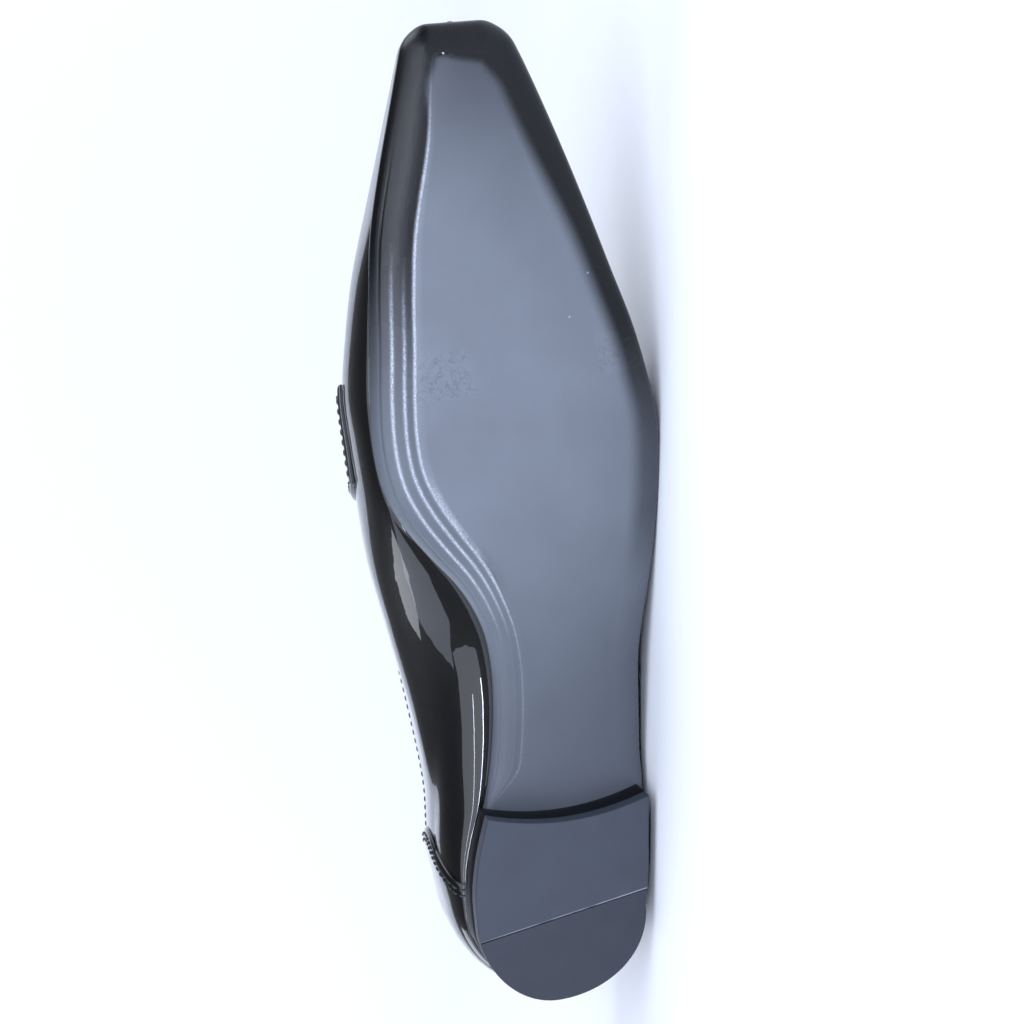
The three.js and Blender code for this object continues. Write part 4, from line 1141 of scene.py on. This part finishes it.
# The front edge in side view, from the sole up to the top line
counter_front = curved([
    (0.118 * LENGTH, SEAT + GAP), (0.138 * LENGTH, SEAT + 0.18 * BACK_HEIGHT),
    (0.152 * LENGTH, SEAT + 0.38 * BACK_HEIGHT), (0.154 * LENGTH, SEAT + 0.55 * BACK_HEIGHT),
    (0.142 * LENGTH, SEAT + 0.72 * BACK_HEIGHT), (0.112 * LENGTH, SEAT + 1.20 * BACK_HEIGHT),
], 60)
COUNTER_REACH = 1.16
counter_w = np.linspace(0, COUNTER_REACH, 80)
counter_end = {side: collar_end(side, counter_w) for side in (-1, 1)}


def counter_q(side, w, t):
    """q at share t of the way from the feather line to the top edge."""
    end = np.interp(w, counter_w, counter_end[side])
    return -1 + t * (1 + end)


def counter_front_w(side, t, setback=0.0):
    """Station at which row t meets the front edge, or a line set back from it."""
    w = np.linspace(0.95, COUNTER_REACH, 300)
    column = last_point(side, w, counter_q(side, w, t))
    front = np.interp(column[:, 2], counter_front[:, 1], counter_front[:, 0]) - setback
    return first_crossing(w, column[:, 0] - front, 1.1)


# Height and girth of the patch, the radius of a folded edge, and the glue under a patch
COUNTER_TALL, COUNTER_ROUND, EDGE_ROUND, GLUE = 62.0, 150.0, 0.9, 0.06
counter_rows = edge_shares(26, COUNTER_TALL, EDGE_ROUND)
half_cols = edge_shares(40, COUNTER_ROUND, EDGE_ROUND)
half_cols = half_cols[half_cols <= 0.5] * 2
outer_rows, inner_rows = [], []
for t, drop_t in zip(counter_rows, edge_drop(counter_rows, COUNTER_TALL, EDGE_ROUND)):
    parts = []
    for side in (-1, 1):
        w = counter_front_w(side, t) * (1 - half_cols)
        q = counter_q(side, w, t)
        drop = np.maximum(edge_drop(half_cols / 2, COUNTER_ROUND, EDGE_ROUND), drop_t)
        lift = GAP + COUNTER_THICK - np.minimum(drop, EDGE_ROUND)
        parts.append([last_surface(side, w, q, lift)[0], last_surface(side, w, q, GLUE)[0]])
    outer_rows.append(np.concatenate([parts[0][0], parts[1][0][::-1][1:]]))
    inner_rows.append(np.concatenate([parts[0][1], parts[1][1][::-1][1:]]))
counter = shoe_piece("counter_patch", *slab(np.array(outer_rows), np.array(inner_rows)), patent)
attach(counter, "root")
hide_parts("heel_counter")

counter_stitches = []
for side in (-1, 1):
    for setback in (1.9, 3.9):
        t = np.linspace(0.03, 0.97, 60)
        w = np.array([counter_front_w(side, one, setback) for one in t])
        row = last_surface(side, w, counter_q(side, w, t), GAP + COUNTER_THICK)
        counter_stitches.append(sewn(*row, length=2.4, radius=0.32))
thread_piece("counter_stitches", counter_stitches, "heel_counter")

# Strap. The saddle strap of patent leather crosses the instep in front of the opening and widens
# to its ends, which are stitched down along the sides of the vamp just above the sole.

# Thickness, width on the ridge, how far forward its ends sweep, and width of the ends
STRAP_THICK, STRAP_LONG, STRAP_SWEEP, STRAP_END = 1.3, 22.0, 21.0, 32.0
STRAP_FRONT = 0.583 * LENGTH
STRAP_BACK = STRAP_FRONT - STRAP_LONG
STRAP_FOOT = float(feather(STRAP_FRONT)) + 0.30 * INSTEP
STRAP_CROWN = float(feather(STRAP_FRONT)) + 0.95 * INSTEP
strap_front_edge = curved([
    (STRAP_FRONT, STRAP_CROWN), (STRAP_FRONT + 0.12 * STRAP_SWEEP, STRAP_FOOT + 0.52 * INSTEP),
    (STRAP_FRONT + 0.42 * STRAP_SWEEP, STRAP_FOOT + 0.30 * INSTEP),
    (STRAP_FRONT + STRAP_SWEEP, STRAP_FOOT),
], 60)[::-1]
strap_back_edge = curved([
    (STRAP_FRONT + STRAP_SWEEP - STRAP_END, STRAP_FOOT + 0.03 * INSTEP),
    (STRAP_BACK + 0.28 * STRAP_SWEEP, STRAP_FOOT + 0.18 * INSTEP),
    (STRAP_BACK + 0.08 * STRAP_SWEEP, STRAP_FOOT + 0.40 * INSTEP), (STRAP_BACK, STRAP_CROWN),
], 60)
strap_w = np.linspace(*station_at(np.array([150.0, 215.0])), 60)


def strap_foot_q(side):
    """q along the strap's straight lower edge, for each of strap_w."""
    q = np.linspace(-0.5, 0.5, 400)
    x = [strap_back_edge[0][0], strap_front_edge[0][0]]
    z = [strap_back_edge[0][1], strap_front_edge[0][1]]
    feet = []
    for w in strap_w:
        column = last_point(side, w, q)
        feet.append(first_crossing(q, column[:, 2] - np.interp(column[:, 0], x, z), 0.0))
    return np.array(feet)


strap_feet = {side: strap_foot_q(side) for side in (-1, 1)}


def strap_q(side, w, t):
    """q at share t of the way from the strap's lower edge to the ridge."""
    foot = np.interp(w, strap_w, strap_feet[side])
    return foot + t * (1 - foot)


def strap_w_at(side, t, edge, inset=0.0):
    """Station at which the row t crosses an edge of the strap, inset along the shoe."""
    column = last_point(side, strap_w, strap_q(side, strap_w, t))
    line = np.interp(column[:, 2], edge[:, 1], edge[:, 0]) + inset
    return first_crossing(strap_w, column[:, 0] - line, strap_w[0])


# Length of the strap from end to end, and its mean width
STRAP_GIRTH, STRAP_WIDE = 156.0, 24.0
strap_rows = edge_shares(46, STRAP_GIRTH, EDGE_ROUND)
strap_rows = strap_rows[strap_rows <= 0.5] * 2
strap_cols = edge_shares(14, STRAP_WIDE, EDGE_ROUND)
strap_outer, strap_inner = [], []
for side, ts in ((-1, strap_rows), (1, strap_rows[::-1][1:])):
    for t in ts:
        back_w = strap_w_at(side, t, strap_back_edge)
        front_w = strap_w_at(side, t, strap_front_edge)
        w = back_w + (front_w - back_w) * strap_cols
        drop = np.maximum(edge_drop(strap_cols, STRAP_WIDE, EDGE_ROUND),
                          edge_drop(np.array([t / 2]), STRAP_GIRTH, EDGE_ROUND))
        lift = GAP + STRAP_THICK - np.minimum(drop, EDGE_ROUND)
        q = strap_q(side, w, t)
        strap_outer.append(last_surface(side, w, q, lift)[0])
        strap_inner.append(last_surface(side, w, q, GLUE)[0])
strap = shoe_piece("saddle_strap", *slab(np.array(strap_outer), np.array(strap_inner)), patent)
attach(strap, "root")
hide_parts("strap")

# The rows run along both edges over the instep, and across each end
strap_thread = {"radius": 0.34, "length": 2.4}
strap_stitches = []
for edge, inset in ((strap_back_edge, 2.0), (strap_front_edge, -2.0)):
    sides = []
    for side in (-1, 1):
        t = np.linspace(0.04, 1, 70)
        w = np.array([strap_w_at(side, one, edge, inset) for one in t])
        sides.append(last_surface(side, w, strap_q(side, w, t), GAP + STRAP_THICK))
    over = [np.concatenate([a, b[::-1][1:]]) for a, b in zip(*sides)]
    strap_stitches.append(sewn(*over, **strap_thread))
END_ROW, END_ROW_INSET = 0.03, 2.5
for side in (-1, 1):
    w = np.linspace(strap_w_at(side, END_ROW, strap_back_edge, END_ROW_INSET),
                    strap_w_at(side, END_ROW, strap_front_edge, -END_ROW_INSET), 24)
    row = last_surface(side, w, strap_q(side, w, END_ROW), GAP + STRAP_THICK)
    strap_stitches.append(sewn(*row, **strap_thread))
thread_piece("strap_stitches", strap_stitches, "strap")

# Apron seam. Vamp and apron meet in a raised seam, sewn over by hand with thick thread, that
# runs forward from under the strap, round the square toe and back. A second one closes the toe.
SEAM_WIDE, SEAM_HIGH, SEAM_FRONT = 2.6, 0.9, 307.0
SEAM_SINK, SEAM_ROOT = 0.05, 0.5
# Share of the length, and of the way from the top line to the widest line
share_rows = [(0.590, 0.56), (0.700, 0.58), (0.850, 0.62), (1.000, 0.64)]
apron_share = smooth(share_rows, 1)
bare_faces = grid_faces(shell.shape[0], shell.shape[1], closed=True)
skin = BVHTree.FromPolygons(shell.reshape(-1, 3).tolist(), bare_faces)


def dropped(points, direction):
    """Places and outward directions where rays in one direction meet the upper's skin."""
    places, normals = [], []
    for point in points:
        place, normal, _, _ = skin.ray_cast(Vector(point), Vector(direction))
        if place is None:
            continue
        places.append(place)
        normals.append(-normal if normal.dot(Vector(direction)) > 0 else normal)
    return np.array(places), np.array(normals)


def evened(path, normals, step):
    """A path resampled at even steps, with its directions smoothed."""
    run = length_along(path)
    at = np.linspace(0, run[-1], int(run[-1] / step) + 1)
    path, normals = at_length(at, run, path), at_length(at, run, normals)
    for _ in range(3):
        normals[1:-1] = (normals[:-2] + 2 * normals[1:-1] + normals[2:]) / 4
        path[1:-1] = (path[:-2] + 2 * path[1:-1] + path[2:]) / 4
    return path, normals / np.linalg.norm(normals, axis=1, keepdims=True)


def swept(path, normals, sections, closed=False):
    """Points and faces of a section drawn along a path. sections gives [out, aside] offsets."""
    count = len(path)
    points = []
    for i in range(count):
        before = path[(i - 1) % count if closed else max(i - 1, 0)]
        after = path[(i + 1) % count if closed else min(i + 1, count - 1)]
        forward = (after - before) / np.linalg.norm(after - before)
        aside = np.cross(forward, normals[i])
        aside /= np.linalg.norm(aside)
        out = np.cross(aside, forward)
        points += [path[i] + a * out + b * aside for a, b in sections[i]]
    sides = len(sections[0])
    faces = []
    for r in range(count if closed else count - 1):
        for k in range(sides):
            n = (k + 1) % sides
            nxt = (r + 1) % count
            faces.append((r * sides + k, r * sides + n, nxt * sides + n, nxt * sides + k))
    if not closed:
        faces += [tuple(range(sides)), tuple((count - 1) * sides + k for k in range(sides))]
    return points, faces


def seam_plan():
    """Plan line of the apron seam from the inner side, round the toe, to the outer side."""
    sides = []
    for side in (-1, 1):
        x = np.linspace(STRAP_FRONT - 2, SEAM_FRONT - CORNER, 60)
        middle = aside_at(x / LENGTH) * BALL
        y = middle + apron_share(x / LENGTH) * (last_edge[side](x / LENGTH) - middle)
        turn_at = np.linspace(0, math.pi / 2, 14)[1:]
        x = np.r_[x, SEAM_FRONT - CORNER * (1 - np.sin(turn_at))]
        y = np.r_[y, y[-1] - side * CORNER * (1 - np.cos(turn_at))]
        sides.append(np.stack([x, y], 1))
    return np.concatenate([sides[0], sides[1][::-1]])


# Section of the ridge, as offsets out of the leather and along it
ridge_section = [(-SEAM_ROOT, -SEAM_WIDE / 2)]
for k in range(9):
    angle = math.pi * k / 8
    ridge_section.append((SEAM_HIGH * math.sin(angle) ** 0.8 - SEAM_SINK,
                          -SEAM_WIDE / 2 * math.cos(angle)))
ridge_section.append((-SEAM_ROOT, SEAM_WIDE / 2))
ABOVE, IN_FRONT, TOE_POINTS = 200.0, 400.0, 30
apron_line = np.column_stack([seam_plan(), np.full(len(seam_plan()), ABOVE)])
apron_path, apron_out = evened(*dropped(apron_line, (0, 0, -1)), 0.8)
toe_top = apron_path[np.argmin(np.abs(apron_path[:, 1] - TOE_ASIDE)
                               + OUT_OF_REACH * (apron_path[:, 0] < SEAM_FRONT - 3))]
toe_heights = np.linspace(float(feather(LENGTH)) + 1.2, toe_top[2] - 0.5, TOE_POINTS)
toe_line = np.column_stack([np.full(TOE_POINTS, IN_FRONT), np.full(TOE_POINTS, TOE_ASIDE),
                            toe_heights])
toe_path, toe_out = evened(*dropped(toe_line, (-1, 0, 0)), 0.6)
seams = shoe_piece("apron_and_toe_seams", *joined([
    swept(apron_path, apron_out, [ridge_section] * len(apron_path)),
    swept(toe_path, toe_out, [ridge_section] * len(toe_path)),
]), patent)
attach(seams, "root")
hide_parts("upper")
thread_piece("apron_stitches", [
    sewn(path + out * (SEAM_HIGH - SEAM_SINK), out, pitch=pitch, length=SEAM_WIDE + 1.1,
         radius=0.36, across=True)
    for path, out, pitch in ((apron_path, apron_out, 3.2), (toe_path, toe_out, 2.6))
], "upper")


# Tongue. Patent leather backed with kid, cut in one with the apron: it passes under the strap
# and stands up behind it, with a rounded and stitched end.
def on_top(x, y, offset):
    """Point over the instep at a plan place, lifted by offset, and its outward direction."""
    def bare(px, py):
        """Point of the bare last over a plan place."""
        share = px / LENGTH
        middle = aside_at(share) * BALL
        side = np.where(py < middle, last_edge[-1](share), last_edge[1](share))
        reach = np.minimum(np.abs((py - middle) / (side - middle)), 1)
        crown = crown_at(share)
        low = widest_at(share) * INSTEP
        rise = (ridge_at(share) * INSTEP - low) * (1 - reach ** crown) ** (1 / crown)
        return np.stack([px, py, feather(px) + low + rise], -1)
    x, y = np.broadcast_arrays(np.asarray(x, float), np.asarray(y, float))
    d = 0.5
    normal = np.cross(bare(x + d, y) - bare(x - d, y), bare(x, y + d) - bare(x, y - d))
    normal /= np.linalg.norm(normal, axis=-1, keepdims=True)
    return bare(x, y) + normal * np.asarray(offset)[..., None], normal


TONGUE_THICK, TONGUE_WIDE, TONGUE_ROUND, TONGUE_EDGE = 1.8, 50.0, 15.0, 0.8
TONGUE_BACK = 0.395 * LENGTH
TONGUE_FRONT = STRAP_FRONT - 0.1 * STRAP_LONG
tongue_middle = float(aside_at(np.float64(0.5))) * BALL


def tongue_half(x):
    """Half width of the tongue at x."""
    into = np.clip((x - TONGUE_BACK) / TONGUE_ROUND, 0, 1)
    rounded = (1 - (1 - into) ** 2.2) ** (1 / 2.2)
    past = np.clip((x - TONGUE_BACK - TONGUE_ROUND)
                   / (TONGUE_FRONT - TONGUE_BACK - TONGUE_ROUND), 0, 1)
    return TONGUE_WIDE / 2 * rounded * (0.9 + 0.1 * past)


into = np.linspace(0, 1, 14) ** 2
tongue_x = np.r_[TONGUE_BACK + 0.02 + TONGUE_ROUND * into,
                 np.linspace(TONGUE_BACK + TONGUE_ROUND, TONGUE_FRONT, 18)[1:]]
across_shares = edge_shares(22, TONGUE_WIDE, TONGUE_EDGE)
# The tongue lies under the upper's wall, and its back edge is rounded over as its sides are
face_gap = -WALL - GAP
BACK_SPAN = 40.0
outer_rows, inner_rows = [], []
for x in tongue_x:
    half = float(tongue_half(x))
    y = tongue_middle + half * (2 * across_shares - 1)
    back_share = min((x - TONGUE_BACK) / BACK_SPAN, 0.5)
    back_drop = edge_drop(np.array([back_share]), BACK_SPAN, TONGUE_EDGE)
    drop = np.maximum(edge_drop(across_shares, 2 * half, TONGUE_EDGE), back_drop)
    outer_rows.append(on_top(x, y, face_gap - np.minimum(drop, TONGUE_EDGE))[0])
    inner_rows.append(on_top(x, y, face_gap - TONGUE_THICK)[0])
tongue = shoe_piece("stitched_tongue", *slab(np.array(outer_rows), np.array(inner_rows)), patent)
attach(tongue, "root")
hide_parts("tongue")

# The row of stitches goes round the free end, a little inside its edge
ROW_FROM, ROW_INSET = 38.0, 2.2
x = np.r_[np.linspace(TONGUE_BACK + ROW_FROM, TONGUE_BACK + TONGUE_ROUND, 14)[:-1],
          TONGUE_BACK + ROW_INSET + (TONGUE_ROUND - ROW_INSET) * np.linspace(1, 0, 26) ** 2]
half = tongue_half(np.maximum(x - 1.2, TONGUE_BACK)) - 1.6
half[-1] = 0
plan_x = np.r_[x, x[::-1][1:]]
plan_y = tongue_middle + np.r_[-half, half[::-1][1:]]
thread_piece("tongue_stitches", [sewn(*evened(*on_top(plan_x, plan_y, face_gap), 0.8))],
             "tongue")

# Sock. The insole board is covered by a padded sock of black kid, cemented down and a little
# crowned along its middle.
SOCK_THICK, SOCK_ROUND, SOCK_UNDER, SOCK_CROWN = 2.5, 0.8, 0.3, 0.5
SOCK_INSET = FEATHER_INSET + WALL + 2 * GAP
# Inset and height of each ring of its edge
sock_profile = ((SOCK_UNDER, 0.0), (0.0, 0.3), (0.0, 1.8), (0.25, 2.25), (SOCK_ROUND, SOCK_THICK))
sock_rings = np.array([sole_loop(lambda x, d=deep: SOCK_INSET + d + no_inset(x),
                                 lambda x, r=rise: feather(x) + r)
                       for deep, rise in sock_profile])
sock_top = sole_face(lambda x: SOCK_INSET + SOCK_ROUND + no_inset(x),
                     lambda x: feather(x) + SOCK_THICK - SOCK_CROWN, SOCK_CROWN)
bowed = (np.linspace(-1, 1, ACROSS + 1) ** 2)[:, None] * border(sock_top[:, :, 0])
sock_top[:, :, 2] += SOCK_CROWN - SOCK_CROWN * bowed
sock_base = sole_face(lambda x: SOCK_INSET + SOCK_UNDER + no_inset(x), feather)
sock = shoe_piece("kid_sock", *closed_layer(sock_rings, sock_top, sock_base), lining)
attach(sock, "root")
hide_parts("insole")

# Bit. A plain snaffle of cast brass with a gold-tone plating, polished: two oval rings that lie
# on the strap, and between them a bar of two tapered links joined by small eyes. Leather
# keepers hold the rings down at their outer sides.

# Radius of the wire, size and spacing of the rings, and thickness of a keeper
WIRE = 1.6
RING_LONG, RING_WIDE, RING_SPACING = 19.0, 17.0, 38.0
KEEPER_THICK = 1.2
BIT_X = STRAP_FRONT - STRAP_LONG / 2
bit_y = float(aside_at(np.float64(BIT_X / LENGTH))) * BALL
STRAP_FACE = GAP + STRAP_THICK
BIT_LIFT = STRAP_FACE + GAP + WIRE

# Polished plate: warm yellow, mirror-like, with hairline wiping marks about 0.2 mm apart
gold_plate, tree, shader = finish_of("polished_gold_plate", Metallic=1.0)
place = add(tree, "ShaderNodeAttribute", attribute_name="shoe_mm").outputs["Vector"]
wiped = add(tree, "ShaderNodeVectorMath", {0: place, 1: (0.4, 5.0, 5.0)}, operation="MULTIPLY")
hairlines = add(tree, "ShaderNodeTexNoise", {"Vector": wiped.outputs[0], "Scale": 1.0})
tone = add(tree, "ShaderNodeMix", {
    "Factor": hairlines.outputs["Fac"], 6: linear("#c79a4c"), 7: linear("#e3bd74"),
}, data_type="RGBA")
tree.links.new(tone.outputs[2], shader.inputs["Base Color"])
gloss = add(tree, "ShaderNodeMapRange", {
    "Value": hairlines.outputs["Fac"], "To Min": 0.08, "To Max": 0.2,
})
tree.links.new(gloss.outputs[0], shader.inputs["Roughness"])


def round_section(radius, sides=14):
    """Offsets of a round wire's section."""
    return [(radius * math.cos(2 * math.pi * s / sides), radius * math.sin(2 * math.pi * s / sides))
            for s in range(sides)]


RING_STEPS, LINK_STEPS, EYE_STEPS = 72, 34, 32
for name, node, side in (("snaffle_ring_inner", "bit_ring_inner", -1),
                         ("snaffle_ring_outer", "bit_ring_outer", 1)):
    angle = np.linspace(0, 2 * math.pi, RING_STEPS, endpoint=False)
    path, out = on_top(BIT_X + (RING_LONG / 2 - WIRE) * np.cos(angle),
                       bit_y + side * RING_SPACING / 2 + (RING_WIDE / 2 - WIRE) * np.sin(angle),
                       BIT_LIFT)
    wire = swept(path, out, [round_section(WIRE)] * RING_STEPS, closed=True)
    ring = shoe_piece(name, *wire, gold_plate, sharp=180.0)
    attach(ring, "root")
    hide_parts(node)

bar_half = RING_SPACING / 2 - RING_WIDE / 2 - GAP
# Share of a link's length from the middle of the bar, and its girth as a share of the wire
link_rows = [(0.16, 0.62), (0.22, 0.80), (0.30, 0.78), (0.45, 0.92), (0.62, 1.12), (0.78, 1.22),
             (0.90, 1.15), (0.97, 1.02), (1.00, 0.80)]
link_girth = smooth(link_rows, 1)
EYE_RADIUS, EYE_WIRE, EYE_AT_SHARE = 1.35, 0.75, 0.06
bar_lift = BIT_LIFT + 0.55 * WIRE
bar_parts = []
for side in (-1, 1):
    shares = np.linspace(link_rows[0][0], 1.0, LINK_STEPS)
    path, out = on_top(BIT_X, bit_y + side * shares * bar_half, bar_lift)
    girths = [round_section(WIRE * float(link_girth(np.float64(s)))) for s in shares]
    bar_parts.append(swept(path, out, girths))
    # The inner link's eye lies flat and the outer one's stands up, so they hook into each other
    centre, out = on_top(BIT_X, bit_y + side * EYE_AT_SHARE * bar_half, bar_lift)
    eye_angle = np.linspace(0, 2 * math.pi, EYE_STEPS, endpoint=False)[:, None]
    along_bar = np.array([0.0, 1.0, 0.0])
    beside = np.array([1.0, 0.0, 0.0]) if side < 0 else out
    eye_path = centre + EYE_RADIUS * (np.cos(eye_angle) * along_bar + np.sin(eye_angle) * beside)
    facing = np.repeat(np.cross(beside, along_bar)[None], EYE_STEPS, 0)
    bar_parts.append(swept(eye_path, facing, [round_section(EYE_WIRE, 10)] * EYE_STEPS,
                           closed=True))
bar = shoe_piece("snaffle_bar", *joined(bar_parts), gold_plate, sharp=180.0)
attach(bar, "root")
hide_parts("bit_bar")

# A keeper's line over the ring, as distances aside and heights above the upper, and its section,
# 5 mm wide with softened corners
bow = WIRE + 3 * GAP + KEEPER_THICK / 2
keeper_foot = STRAP_FACE + GAP + KEEPER_THICK / 2
half_bow = [(1.6 * bow, keeper_foot), (1.15 * bow, keeper_foot + 0.1 * bow),
            (0.97 * bow, BIT_LIFT + 0.25 * bow), (0.62 * bow, BIT_LIFT + 0.79 * bow)]
bow_line = curved([(-out, lift) for out, lift in half_bow] + [(0, BIT_LIFT + bow)]
                  + half_bow[::-1], 40)
keeper_section = [(-0.6, -2.1), (-0.45, -2.4), (0.3, -2.5), (0.52, -2.35), (0.6, -2.0),
                  (0.6, 2.0), (0.52, 2.35), (0.3, 2.5), (-0.45, 2.4), (-0.6, 2.1)]
for name, node, side in (("ring_keeper_inner", "bit_keeper_inner", -1),
                         ("ring_keeper_outer", "bit_keeper_outer", 1)):
    middle = bit_y + side * (RING_SPACING / 2 + RING_WIDE / 2 - WIRE)
    path, out = on_top(np.full(len(bow_line), BIT_X), middle + side * bow_line[:, 0],
                       bow_line[:, 1])
    keeper = shoe_piece(name, *swept(path, out, [keeper_section] * len(path)), patent)
    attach(keeper, "root")
    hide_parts(node)
